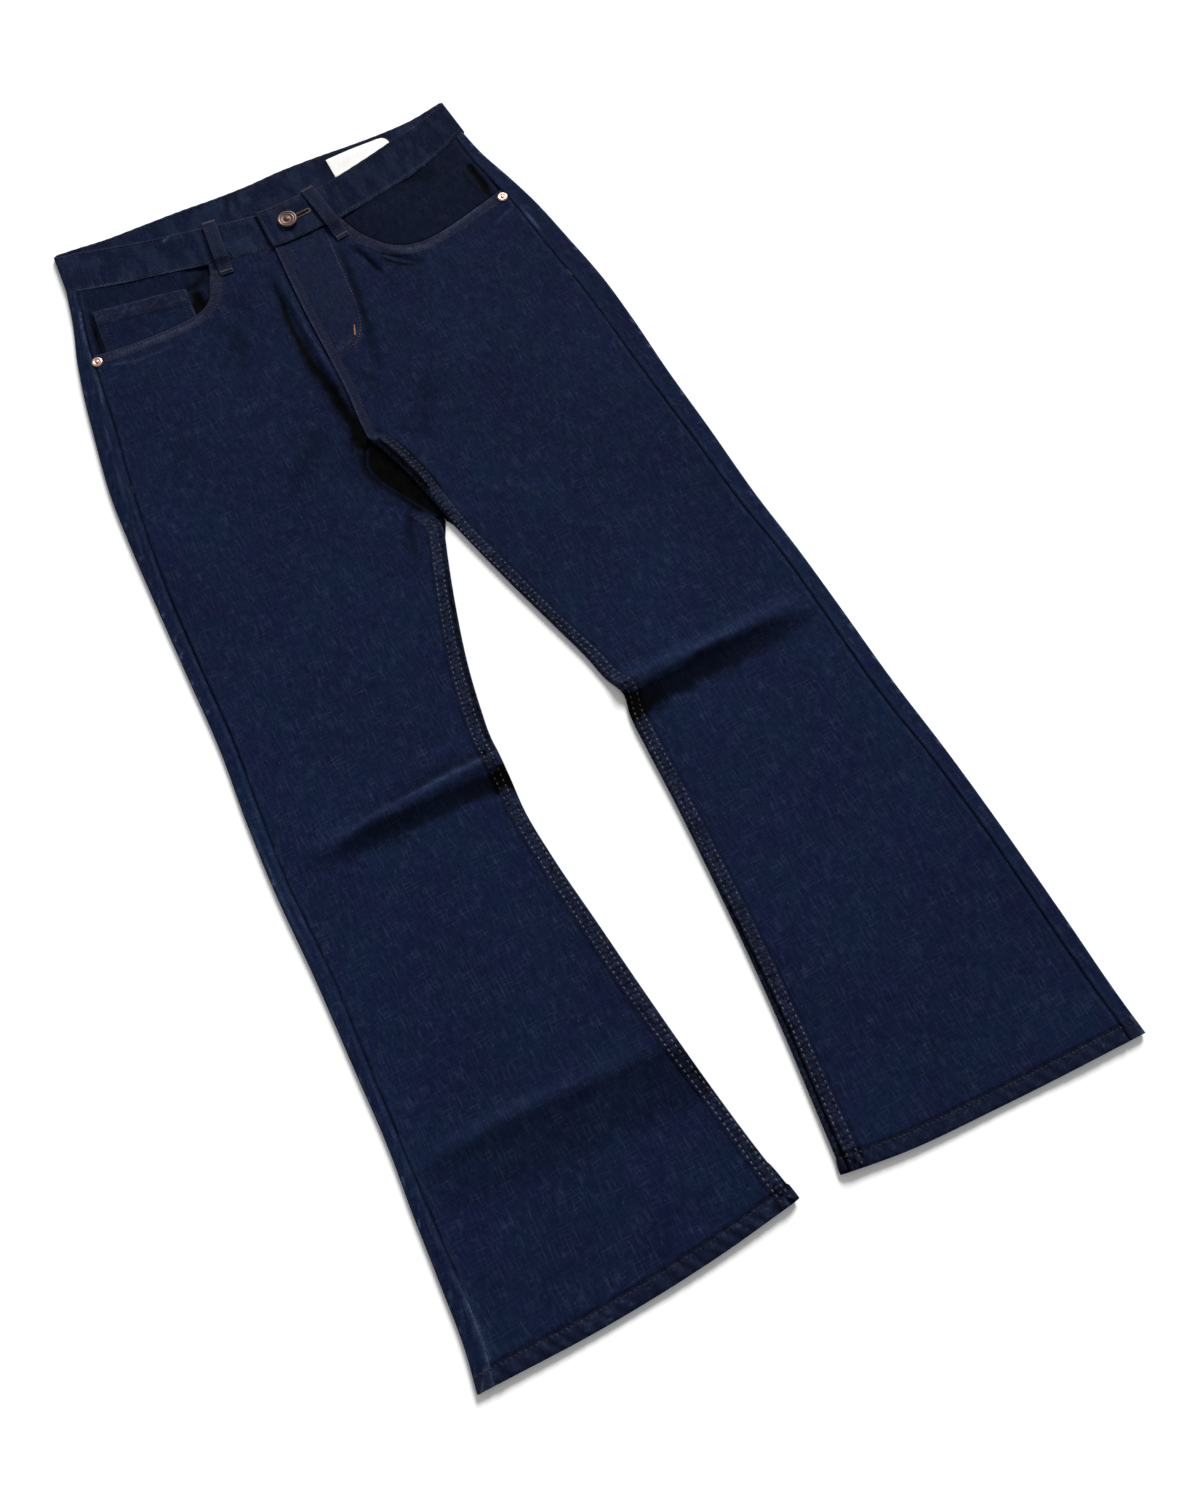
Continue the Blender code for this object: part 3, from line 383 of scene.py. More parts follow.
class JeansThreadSizes(bpy.types.PropertyGroup):
    """Sizes of the sewing."""

    long_pitch: size("Seam stitch", "Pitch of the leg seams' topstitch", 4.6)
    short_pitch: size("Trim stitch", "Pitch of the stitches on fly, pockets and band", 3.4)
    hem_pitch: size("Hem stitch", "Pitch of the hem stitch", 3.8)
    thread: size("Thread", "Thickness of the topstitching thread", 0.7)
    seam_thread: size("Seam thread", "Thickness of the leg seams' thread", 1.1)


class JeansColours(bpy.types.PropertyGroup):
    """Colours of the cloth, the threads and the metal."""

    indigo: colour("Indigo", "Main colour of the denim", (0.0044, 0.0070, 0.0270))
    teal: colour("Blue-green indigo", "Second tone of the denim's dye", (0.0036, 0.0090, 0.0272))
    slub: colour("Slub", "Light threads in the weave", (0.0230, 0.0290, 0.0640))
    # colour of rubbed wear, also used for painted highlights on ridges and wrinkles
    worn: colour("Worn", "Rubbed edges of the denim", (0.0500, 0.0740, 0.1450))
    tobacco: colour("Tobacco tint", "Denim between close rows of brown stitches", (0.0165, 0.0160, 0.0300))
    brown_thread: colour("Brown thread", "Topstitching", (0.020, 0.0175, 0.027))
    pale_thread: colour("Pale thread", "Leg seam stitches", (0.062, 0.062, 0.092))
    tan_thread: colour("Tan thread", "Hem stitches", (0.050, 0.040, 0.046))
    fly_thread: colour("Fly thread", "Curved row of stitches on the fly", (0.060, 0.040, 0.036))
    loop_thread: colour("Loop thread", "Ends of the belt loops", (0.044, 0.033, 0.036))
    hole_thread: colour("Buttonhole thread", "Edge of the buttonhole", (0.090, 0.052, 0.040))
    orange_thread: colour("Orange thread", "Bar tacks", (0.34, 0.15, 0.07))
    antique_brass: colour("Antique brass", "Shank button", (0.106, 0.072, 0.060))
    copper: colour("Copper", "Rivets", (0.78, 0.50, 0.40))
    ribbon: colour("Ribbon", "Waist label", (0.86, 0.85, 0.82))


class JeansStageSettings(bpy.types.PropertyGroup):
    """Light and floor of the studio."""

    key: FloatProperty(name="Key light", description="Irradiance of the light beyond the waist", default=4.7)
    key_height: angle("Key height", "Key light above the horizon", 32)
    key_turn: angle("Key turn", "Key light from the waist's side round to the left", 38)
    key_spread: angle("Key softness", "Angle that the key light fills", 22)
    sky: FloatProperty(name="Sky", description="Strength of the even white light", default=0.42)
    floor_tone: FloatProperty(name="Floor tone", description="Its lightness", default=0.93, subtype="FACTOR")


def in_mm(settings):
    """The sizes of one group of settings, in millimetres."""
    group = getattr(bpy.context.scene, settings)
    names = [item.identifier for item in group.bl_rna.properties if item.type == "FLOAT"]
    return SimpleNamespace(**{name: getattr(group, name) / MM for name in names})


# Curves, blends and lines


def through(value, knots, readings):
    """A smooth line through the readings, held level beyond its ends."""
    order = np.argsort(knots)
    knots = np.asarray(knots, float)[order]
    readings = np.asarray(readings, float)[order]
    slopes = np.gradient(readings, knots)
    value = np.asarray(value, float)
    cell = np.clip(np.searchsorted(knots, value) - 1, 0, len(knots) - 2)
    span = knots[cell + 1] - knots[cell]
    t = np.clip((value - knots[cell]) / span, 0.0, 1.0)
    start = (2 * t**3 - 3 * t**2 + 1) * readings[cell] + (t**3 - 2 * t**2 + t) * span * slopes[cell]
    end = (3 * t**2 - 2 * t**3) * readings[cell + 1] + (t**3 - t**2) * span * slopes[cell + 1]
    return start + end


def column(rows, name, value):
    """One named column of a table at a value of its first column."""
    return through(value, [row[0] for row in rows], [getattr(row, name) for row in rows])


def ease(t):
    t = np.clip(t, 0.0, 1.0)
    return t * t * (3 - 2 * t)


def rising(value, start, fade):
    """0 up to the start, and 1 from a fade beyond it."""
    return ease((value - start) / fade)


def falling(value, end, fade):
    """1 up to a fade before the end, and 0 from there on."""
    return ease((end - value) / fade)


def bell(distance, width):
    return np.exp(-((distance / width) ** 2))


def lengths(points):
    """Distance run along a line at each of its points."""
    return np.concatenate([[0], np.cumsum(np.linalg.norm(np.diff(points, axis=0), axis=1))])


def resampled(points, count):
    """A smooth line of count points through the given ones, evenly spaced."""
    points = np.asarray(points, float)
    run = lengths(points)
    places = np.linspace(0, run[-1], count)
    return np.stack([through(places, run, points[:, axis]) for axis in range(points.shape[1])], axis=1)


def points_at(line, run, places):
    """Points of a line at places on its run."""
    return np.stack([np.interp(places, run, line[:, axis]) for axis in range(line.shape[1])], axis=1)


def to_the_right(line):
    """Unit directions in plan, square to a line, at each of its points."""
    ahead = np.gradient(line, axis=0)
    ahead /= np.linalg.norm(ahead, axis=1, keepdims=True)
    return np.stack([ahead[:, 1], -ahead[:, 0]], axis=1)


def filled(low, high, start, end):
    """A grid of points over four edges: low and high run across, start and end run up."""
    low, high, start, end = (np.asarray(edge, float) for edge in (low, high, start, end))
    across, up = lengths(low), lengths(start)
    u = (across / across[-1])[None, :, None]
    v = (up / up[-1])[:, None, None]
    ruled_up = (1 - v) * low[None] + v * high[None]
    ruled_across = (1 - u) * start[:, None] + u * end[:, None]
    corners = (1 - u) * (1 - v) * low[0] + u * (1 - v) * low[-1] + (1 - u) * v * high[0] + u * v * high[-1]
    return ruled_up + ruled_across - corners


def near_line(line, x, y):
    """Distance to a plan line and the distance run along it at the nearest point."""
    run = lengths(line)
    spread = (np.ravel(x)[:, None] - line[:, 0]) ** 2 + (np.ravel(y)[:, None] - line[:, 1]) ** 2
    nearest = spread.argmin(axis=1)
    distance = np.sqrt(spread[np.arange(len(nearest)), nearest])
    return distance.reshape(np.shape(x)), run[nearest].reshape(np.shape(x))


def lumps(x, y, size_x, size_y, seed):
    """Smooth hills and hollows from -1 to 1, size_x by size_y across, the same in each run."""
    heights = np.random.default_rng(seed).uniform(-1, 1, (61, 67))
    u, v = np.broadcast_arrays(x / size_x + 20, y / size_y + 20)
    i, j = np.floor(u).astype(int), np.floor(v).astype(int)
    s, t = ease(u - i), ease(v - j)
    i, j, rows, columns = i % 61, j % 67, (i + 1) % 61, (j + 1) % 67
    low = heights[i, j] * (1 - s) + heights[rows, j] * s
    high = heights[i, columns] * (1 - s) + heights[rows, columns] * s
    return low * (1 - t) + high * t


def patches(x, y, size_x, size_y, seed):
    """Uneven strength of wear, from 0.2 to 1."""
    return 0.6 + 0.4 * lumps(x, y, size_x, size_y, seed)


def flecks(x, y, size_x, size_y, seed, rare=0.5):
    """Small scattered light spots, from 0 to 1."""
    return rising(lumps(x, y, size_x, size_y, seed), rare, 0.3)


def ripple(along, pitch, seed):
    """An uneven wave from -1 to 1 along a seam."""
    drift = 0.45 * lumps(along, 0.0, 3.1 * pitch, 1.0, seed)
    strength = 0.65 + 0.35 * lumps(along, 0.0, 4.3 * pitch, 1.0, seed + 1)
    return strength * np.sin(math.tau * (along / pitch + drift))


# The garment's own measures


def outer_fold(side, y):
    """Distance of a leg's outer fold from the middle line."""
    return column(OUTLINE, side, y)


def outseam(side, y):
    return outer_fold(side, y) - column(OUTLINE, f"wrap_{side}", y)


def fold_height(y):
    return column(OUTLINE, "height", y)


def front_edge(side, y):
    """Signed x of a front panel's inner edge: inseam up to the crotch point, then the rise seam."""
    rise = column(FRONT_RISE, "x", y) + SIDES[side] * SEAM_GAP / 2
    return np.where(y < CROTCH_Y, column(INSIDE_LEG + FRONT_FORK, side, y), rise)


def back_edge(side, y):
    """Signed x of a back panel's inner edge: inseam up to the fork, then the seat seam."""
    seat = FORK_X * (YOKE_CENTRE_Y - y) / (YOKE_CENTRE_Y - FORK_Y)
    return np.where(y < FORK_Y, column(INSIDE_LEG + BACK_FORK, side, y), seat + SIDES[side] * SEAM_GAP / 2)


def hem_line(side, x):
    """The slanted lower edge of a leg."""
    return column(HEM_LINES[side], "y", np.abs(x))


def hem_sway(side, x, y):
    """How far a point near the hem moves down the leg, so that the hem takes its slant."""
    return (hem_line(side, x) - LEVEL_HEM_Y) * ease(1 - (y - LEVEL_HEM_Y) / HEM_SWAY_REACH)


def panel_thickness(y):
    """Thickness of a leg panel, which is doubled in the turned-up hem."""
    return CLOTH + (HEM_CLOTH - CLOTH) * (1 - rising(y, LEVEL_HEM_Y + HEM_DEPTH, HEM_STEP))


def hem_places(side, x, y):
    """Height above the hem, the distance along its slanted ripples, and the share that lies in the hem."""
    above_hem = y - hem_line(side, x)
    return above_hem, x + 0.7 * above_hem, falling(above_hem, HEM_DEPTH + 1, 2)


def band_low(x):
    """The flared lower edge of the waistband's front half."""
    return column(BAND, "front_low", x / BAND_FLARE)


def band_back_low(x):
    """The same of its back half, on the surface."""
    return column(BAND, "back_top", x / BAND_FLARE) - BAND_HEIGHT


def yoke_line(x):
    return YOKE_CENTRE_Y + (YOKE_SIDE_Y - YOKE_CENTRE_Y) * np.clip(np.abs(x) / BAND_SIDE, 0, 1)


def relief(folds, x, y):
    """The ridges and troughs of a table, added up."""
    total = np.zeros(np.broadcast(x, y).shape)
    for x1, y1, x2, y2, height, width in folds:
        length = math.hypot(x2 - x1, y2 - y1)
        along = ((x - x1) * (x2 - x1) + (y - y1) * (y2 - y1)) / length
        off = ((y - y1) * (x2 - x1) - (x - x1) * (y2 - y1)) / length
        fade = ease(along / (FOLD_START_FADE * length) + FOLD_START_SHARE)
        fade *= ease((length - along) / (FOLD_END_FADE * length) + FOLD_END_SHARE)
        total += height * bell(off, width) * fade
    return total


def brushed(strokes, x, y):
    """Soft, slightly ragged brush strokes, added up."""
    total = np.zeros(np.shape(x))
    ragged = 1 + 0.25 * lumps(x, y, 5, 5, 61) + 0.2 * lumps(x, y, 2.6, 2.6, 62)
    for stroke in strokes:
        marks = np.array(stroke, float)
        line = resampled(marks[:, :2], 90)
        distance, along = near_line(line, x, y)
        knots = lengths(marks[:, :2])
        knots *= lengths(line)[-1] / knots[-1]
        width, strength = (np.interp(along, knots, marks[:, number]) for number in (2, 3))
        total += strength * bell(distance, ragged * width)
    return total


def banded(bands, x, y):
    """Bands of painted shade across a leg, each with a crisp upper edge and a soft lower one."""
    total = np.zeros(np.shape(x))
    ragged = 2.2 * lumps(x, y, 4, 4, 64) + 1.8 * lumps(x, y, 10, 9, 65)
    for band in bands:
        top, low = column(band, "top", x) + 0.6 * ragged, column(band, "low", x) + 1.3 * ragged
        edges = ease((top - y) / 4 + 0.5) * ease((y - low) / (0.5 * (top - low)) + 0.5)
        total += column(band, "strength", x) * edges
    return total


def fly_share(x, y):
    """1 on the fly's plateau of the left front, 0 off it."""
    inside = ease((column(FLY_PLATEAU, "x", y) - x) / FLY_EDGE + 0.5) * rising(y, FLY_PLATEAU[0].y, FLY_EDGE)
    return inside * (x > column(FRONT_RISE, "x", y))


def mouth_line(side):
    """The pocket mouth as a close line of plan points."""
    return resampled([(SIDES[side] * p.x, p.y) for p in MOUTHS[side]], 110)


def mouth_depth(side, x, y):
    """How far a point lies inside the pocket mouth; negative under or on the front panel."""
    line = mouth_line(side)
    away = near_line(line, x, y)[0]
    level = through(np.abs(x), np.abs(line[:, 0]), line[:, 1])
    exposed = (y > level) & (np.abs(x) > MOUTHS[side][0].x)
    return np.where(exposed, away, -away)


def fly_line(inset):
    """The topstitched curve of the fly, moved inward from the plateau's edge."""
    line = resampled([(p.x, p.y) for p in FLY_PLATEAU], 90)
    return line - inset * to_the_right(line)


# The front panels' upper face

# The two stitch rows of each felled inseam: how far they lie in from the panel's edge
SEAM_ROWS = {
    "right": table(
        "y near far",
        (-506, 3, 10.2), (-478, 2.9, 10), (-440, 2.5, 8.8), (-403, 2.9, 9.1), (-365, 4.1, 10.4),
        (-328, 4.8, 11.3), (-278, 4.5, 11.3), (-228, 3.8, 10.4), (-165, 3.3, 10), (-140, 5.5, 11),
        (-90, 6, 12.8), (60, 6, 12.8), (97, 6, 12.3), (130, 5, 11),
    ),
    "left": table(
        "y near far",
        (-506, 7.7, 15), (-478, 7.5, 14.8), (-403, 7, 13.5), (-328, 5.4, 12.5), (-253, 4.5, 11),
        (-178, 3.8, 10.4), (-78, 4, 9.8), (-28, 2.9, 7.9), (22, 2.3, 8.5), (122, 2.8, 9.2), (150, 6, 11.4),
        (190, 7.2, 12.2), (209, 6.6, 11.4),
    ),
}

FLY_INSET = 0.4
MOUTH_ROWS = (2.4, 8.6)
RISE_ROWS = (2.0, 7.6)
CROTCH_ROLL = 9
ROPING_PITCH = 11.5
FRONT_SEEDS = {"right": 10, "left": 40}


def seam_rows(side, y):
    return [column(SEAM_ROWS[side], name, y) for name in ("near", "far")]


def leg_share(y):
    """1 along the inseams, 0 along the rise seam."""
    return ease((CROTCH_Y - y) / ROLL_FADE + 0.1)


def loose_edge(y):
    """1 on the left lower leg, where the inseam's felled edge lies clear of the fold, 0 above."""
    return falling(y, -250, 70)


def crotch_share(side, y):
    """1 along the stretch of the right inseam that sinks into the crotch fold, 0 elsewhere."""
    return rising(y, 112, 14) * falling(y, CROTCH_Y - 2, 8) * (side == "right")


def roll_width(side, y):
    """Width of a front panel's rounded inner edge."""
    return INSEAM_ROLL + (CROTCH_ROLL - INSEAM_ROLL) * crotch_share(side, y)


def edge_height(y):
    """Height at which a front panel's rounded inner edge meets the back panel's."""
    return fold_height(y) / 2 + SEAM_GAP / 2


def seam_closure(side, y):
    """Shares by which the pressed outseam gapes at the hem, and by which it closes to a dark line of painted
    shade.
    """
    opened = falling(y, -425, 30) * (side == "right")
    return opened, 1 - 0.6 * falling(y, 40, 130) * (side == "right") - 0.3 * opened


def front_places(side, x, y):
    """Distances of a front's points from its inner edge, outseam and pocket mouth, and the mouth's run."""
    in_edge = np.abs(x - front_edge(side, y))
    in_seam = np.abs(SIDES[side] * outseam(side, y) - x)
    return in_edge, in_seam, *near_line(mouth_line(side), x, y)


def solid_front(side, x, y):
    """Height of the front's upper face as the solid has it."""
    inner, seam = front_edge(side, y), SIDES[side] * outseam(side, y)
    share = np.clip((x - inner) / (seam - inner), 0, 1)
    sag = MID_SAG * falling(y, POCKET_ZONE_Y + SAG_FADE, SAG_FADE)
    height = fold_height(y) - sag * np.sin(math.pi * share) ** 2 + relief(FOLDS, x, y)
    if side == "left":
        step = ease(1 - (x - inner) / FLY_STEP_WIDTH) * rising(y, CROTCH_Y, FLY_STEP_FADE)
        height += FLY_RAISE * fly_share(x, y) + FLY_STEP * step
    return height


def front_face(side, x, y):
    """Height of the front's upper face with all its sewing and creases."""
    sizes, seed = in_mm("jeans_cloth"), FRONT_SEEDS[side]
    groove, pucker = sizes.groove, sizes.pucker
    in_edge, in_seam, mouth, mouth_run = front_places(side, x, y)
    near, far = seam_rows(side, y)
    height = solid_front(side, x, y) + relief(CREASES, x, y)

    quiet = rising(in_edge, 0, 14) * rising(in_seam, 0, 10)
    height += sizes.lumps * quiet * (lumps(x, y, 58, 92, seed) + 0.45 * lumps(x, y, 17, 31, seed + 2))
    height += 0.16 * sizes.lumps * lumps(x, y, 7, 12, seed + 3)

    leg = leg_share(y)
    sewn_leg = leg * (1 - crotch_share(side, y))
    fell = falling(in_edge, far + 2.2, 1.6)
    if side == "left":
        fell = fell * (1 - loose_edge(y) * falling(in_edge, near - 1.2, 1.2))
    height += sewn_leg * sizes.fell_raise * fell
    height -= sewn_leg * groove * (bell(in_edge - near, 0.9) + bell(in_edge - far, 0.9))
    height += sewn_leg * pucker * bell(in_edge - 7, 8) * ripple(y, 8.2, seed + 4)
    rungs = np.cos(math.tau * y / in_mm("jeans_threads").long_pitch)
    height -= 0.09 * sewn_leg * rungs * falling(in_edge, far + 1.5, 1.5)

    height += sizes.seam_ridge * (bell(in_seam - 4, 3.2) - 1.6 * bell(in_seam, 1.1))
    height += 0.45 * pucker * bell(in_seam, 9) * ripple(y, 13, seed + 6)

    above_hem, slanted, _ = hem_places(side, x, y)
    height += 0.5 * falling(above_hem, HEM_DEPTH + 0.6, 1.4) - 1.1 * bell(above_hem, 1.3)
    height -= groove * bell(above_hem - HEM_DEPTH + 2, 1)
    height += sizes.roping * bell(above_hem - 6.5, 7.5) * ripple(slanted, ROPING_PITCH, seed + 8)

    height += 0.45 * falling(mouth, sizes.mouth_hem + 0.5, 1.2) - 0.55 * bell(mouth, 0.9)
    for row in MOUTH_ROWS:
        height -= groove * bell(mouth - row, 0.8)
    height += 0.8 * pucker * bell(mouth - 6, 7) * ripple(mouth_run, 7.4, seed + 10)

    rise = rising(y, CROTCH_Y, ROLL_FADE)
    height += 0.6 * pucker * rise * bell(in_edge - 4, 6) * ripple(y, 7, seed + 12)
    if side == "left":
        for row in RISE_ROWS:
            height -= rise * groove * bell(in_edge - row, 0.8)
        curve, run = near_line(fly_line(FLY_INSET), x, y)
        height += 0.5 * pucker * bell(curve, 5) * ripple(run, 6.6, seed + 14) - groove * bell(curve, 0.9)
    height += 0.35 * pucker * bell(band_low(x) - y, 8) * ripple(x, 9, seed + 16)

    reach = np.clip(in_edge / roll_width(side, y), 0, 1)
    drop = 1 - np.sqrt(1 - (1 - reach) ** 2)
    return height - leg * drop * (height - edge_height(y))


def front_marks(side, x, y):
    """Shares of wear and painted highlight, browning and painted shade on a front, and the phase and share of
    its seams' rungs.
    """
    threads = in_mm("jeans_threads")
    in_edge, in_seam, mouth, mouth_run = front_places(side, x, y)
    near, far = seam_rows(side, y)
    leg = falling(y, CROTCH_Y, ROLL_FADE)
    rise = 1 - leg
    sunk = crotch_share(side, y)
    sewn_leg = leg * (1 - sunk)
    felled = sewn_leg * falling(in_edge, far + 2, 1.6)
    above_hem, slanted, in_hem = hem_places(side, x, y)
    roping = ripple(slanted, ROPING_PITCH, FRONT_SEEDS[side] + 8)
    patchy = patches(x, y, 5, 5, 71)
    blotchy = 0.5 + 0.5 * lumps(x, y, 9, 9, 72)
    speckled = 0.5 + 0.5 * lumps(x, y, 2.6, 3.2, 77)
    crest = np.clip(relief(FOLDS + CREASES, x, y) / 4, -1, 1)
    opened, closed = seam_closure(side, y)

    worn = sewn_leg * (0.12 * bell(in_edge, 1.2) + 0.1 * bell(in_edge - far - 1.4, 0.9))
    worn += felled * (0.35 * flecks(x, y, 2.4, 3, 78, 0.3) + 0.06 * rising(y, 95, 20))
    worn += 0.3 * blotchy * (bell(above_hem - 0.8, 1.5) + in_hem * np.clip(roping, 0, 1))
    worn += 0.5 * in_hem * flecks(slanted, above_hem, 2.4, 3.4, 73, 0.55)
    worn += 0.14 * bell(mouth, 1.2) + 0.35 * falling(mouth, 12, 1) * flecks(x, y, 3, 2.6, 74)
    # rubbed wear beside the outseam, and a painted highlight on the crests of folds and creases
    worn += 0.12 * bell(in_seam - 3, 1.2) * patchy + 0.06 * np.clip(crest, 0, 1)
    # painted highlights and rubbed wear from the brush strokes
    worn = worn * patchy + brushed(LIGHTS[side], x, y) * (0.55 + 0.45 * lumps(x, y, 3.4, 2.6, 75))
    worn += 0.9 * opened * bell(in_seam, 1.4) * (0.5 + 0.5 * lumps(x, y, 2.6, 2.6, 76))
    broken = flecks(x, y, 6, 16, 82, 0.1) * patchy
    worn += 0.5 * (1 - closed) * (1 - opened) * bell(in_seam - 0.6, 1.3) * broken

    brown = np.maximum(0.55 * felled * speckled, 0.85 * falling(mouth, 12, 3) * (0.7 + 0.3 * speckled))
    brown = np.maximum(brown, 0.22 * in_hem)

    # painted shade in the closed outseam, the troughs of folds, under the waistband, on the fell and down the
    # leg
    shaded = (0.95 - 0.45 * rising(y, 130, 90)) * closed * bell(in_seam, 1) + 0.3 * np.clip(-crest, 0, 1)
    shaded += 0.2 * bell(band_low(x) - y, 1.8) + 0.25 * felled * (y < 60)
    shaded += 0.1 * falling(y, -160, 240) + 0.06 * rising(y, -40, 80) + 0.8 * sunk * bell(in_edge, 5)
    # painted shade from the brush strokes and the bands under the cross folds
    shaded += brushed(SHADOWS[side], x, y) + banded(BANDS[side], x, y)
    # painted shade in the hem's ripples and along the step above the hem
    shaded += in_hem * (0.2 + 0.5 * np.clip(-roping, 0, 1)) + 0.7 * bell(above_hem - HEM_DEPTH - 0.6, 1.2)
    # painted shade beside the fell, with dark specks on it
    shaded += 0.6 * sewn_leg * bell(in_edge - far - 2.6, 1) + 0.4 * felled * flecks(x, y, 2.4, 2.8, 79, 0.25)
    if side == "left":
        # painted shadow under the loose felled edge, and in the gap beside the fell by the crotch
        shaded += loose_edge(y) * bell(in_edge - np.clip(near - 2.8, 0, None), 1.1)
        shaded += 1.5 * rising(y, 128, 16) * falling(y, CROTCH_Y - 3, 10) * bell(in_edge - 3.6, 1.9)
        fly_brown = brushed(FLY_BROWNS, x, y)
        brown = np.maximum(brown, 0.35 * fly_share(x + 2, y) * patchy)
        brown = np.maximum(brown, fly_brown * blotchy)
        brown = np.maximum(brown, 0.5 * rise * falling(in_edge, 10, 3))
        worn += 0.2 * fly_brown * flecks(x, y, 2.6, 2.6, 80, 0.2)
        worn += 0.3 * rise * bell(in_edge - 0.6, 1.1) * patchy
        worn += 0.14 * bell(near_line(fly_line(-0.5), x, y)[0], 1.2) * blotchy
    else:
        above_knee = rising(y, -112, 20) * sewn_leg
        # painted shade beside the inseam above the knee and beside the rise seam
        shaded += 0.7 * above_knee * bell(in_edge - 2.6, 1.8) + 0.9 * rise * bell(in_edge, 1.8)

    off_rows = np.minimum(abs(in_edge - near), abs(in_edge - far))
    rungs = felled * (0.55 + 0.45 * speckled) * (0.85 + 0.15 * bell(off_rows, 1.4))
    phase = y / threads.long_pitch
    by_mouth = (mouth < 12) & (y > POCKET_ZONE_Y)
    phase = np.where(by_mouth, mouth_run / threads.short_pitch, phase)
    rungs = np.where(by_mouth, 0.45 * falling(mouth, 11.5, 1) * patchy, rungs)
    by_hem = above_hem < HEM_DEPTH + 1
    phase = np.where(by_hem, slanted / threads.hem_pitch, phase)
    rungs = np.where(by_hem, 0.5 * bell(above_hem - HEM_DEPTH + 2, 1.8), rungs)
    return {"worn": worn, "browned": brown, "shaded": shaded, "phase": phase, "rungs": rungs}


# Making cloth


def deselect_all():
    bpy.ops.object.select_all(action="DESELECT")


def loose_array(points):
    """A mesh's flat list of numbers."""
    return np.asarray(points, np.float32).ravel()


def set_map(mesh, layer, corners):
    """Writes one pair of numbers for each vertex as a UV map."""
    loops = np.zeros(len(mesh.loops), np.int32)
    mesh.loops.foreach_get("vertex_index", loops)
    layer.data.foreach_set("uv", loose_array(corners.reshape(-1, 2)[loops]))


def set_mark(mesh, name, values):
    mesh.attributes.new(name, "FLOAT", "POINT").data.foreach_set("value", loose_array(values))


def laid_grid(name, points):
    """A grid primitive whose rows and columns are laid on the given points."""
    rows, columns = points.shape[:2]
    deselect_all()
    bpy.ops.mesh.primitive_grid_add(x_subdivisions=columns - 1, y_subdivisions=rows - 1, size=1)
    piece = bpy.context.object
    piece.name = piece.data.name = name
    piece.data.vertices.foreach_set("co", loose_array(points * MM))
    piece.data.update()
    return piece


def face_normals(points, up_at):
    """Unit normals of a grid of points; up_at is a row, a column and the sign that z has there."""
    normals = np.cross(np.gradient(points, axis=1), np.gradient(points, axis=0))
    normals /= np.linalg.norm(normals, axis=2, keepdims=True)
    row, col, sign = up_at
    return normals if normals[row, col, 2] * sign > 0 else -normals


def cloth_wall(name, points, thickness, up_at, marks, grain=None, low=0.0, high=np.inf):
    """A closed cloth wall on a grid of points of its outer face.

    Solidify makes the wall, and its inner face is then set at the thickness of each point, between the
    heights low and high, so that it stays clear of the layer that it lies on.
    """
    piece = laid_grid(name, points)
    mesh = piece.data
    rows, columns = points.shape[:2]
    grain_map = mesh.uv_layers.active
    grain_map.name = "grain"
    set_map(mesh, grain_map, MM * (points[..., :2] if grain is None else grain))
    for mark, values in marks.items():
        set_mark(mesh, mark, np.broadcast_to(values, (rows, columns)))
    normals = face_normals(points, up_at)
    row, col, _ = up_at
    if np.dot(mesh.polygons[row * (columns - 1) + col].normal, normals[row, col]) < 0:
        bpy.ops.object.mode_set(mode="EDIT")
        bpy.ops.mesh.select_all(action="SELECT")
        bpy.ops.mesh.flip_normals()
        bpy.ops.object.mode_set(mode="OBJECT")
    solidify = piece.modifiers.new("wall", "SOLIDIFY")
    solidify.thickness = CLOTH * MM
    solidify.offset = -1
    bpy.ops.object.modifier_apply(modifier="wall")
    inner = points - normals * np.broadcast_to(thickness, (rows, columns))[..., None]
    inner[..., 2] = np.clip(inner[..., 2], low, high)
    both = np.concatenate([points.reshape(-1, 3), inner.reshape(-1, 3)])
    mesh.vertices.foreach_set("co", loose_array(both * MM))
    mesh.update()
    bpy.ops.object.shade_smooth_by_angle(angle=math.radians(50))
    return piece


def face_area(points):
    """Area of a grid of points."""
    across, up = np.diff(points, axis=1)[:-1], np.diff(points, axis=0)[:, :-1]
    return float(np.linalg.norm(np.cross(across, up), axis=2).sum())


def unrolled(points):
    """The grain of a wrapped piece: the distance along each row of its grid from the middle, and y."""
    steps = np.linalg.norm(np.diff(points, axis=1), axis=2)
    run = np.concatenate([np.zeros((len(points), 1)), np.cumsum(steps, axis=1)], axis=1)
    return np.stack([run - run[:, [-1]] / 2, points[..., 1]], axis=2)


def fitted(piece, node, material):
    """Gives a piece its material and its place in the frame."""
    piece.data.materials.clear()
    piece.data.materials.append(material)
    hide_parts(node)
    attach(piece, "root")


def finish_cloth(piece, material, points, width, length):
    fitted(piece, piece.name.removesuffix("_cloth"), material)
    area = min(face_area(points), width * length) * MM**2


# Front panels

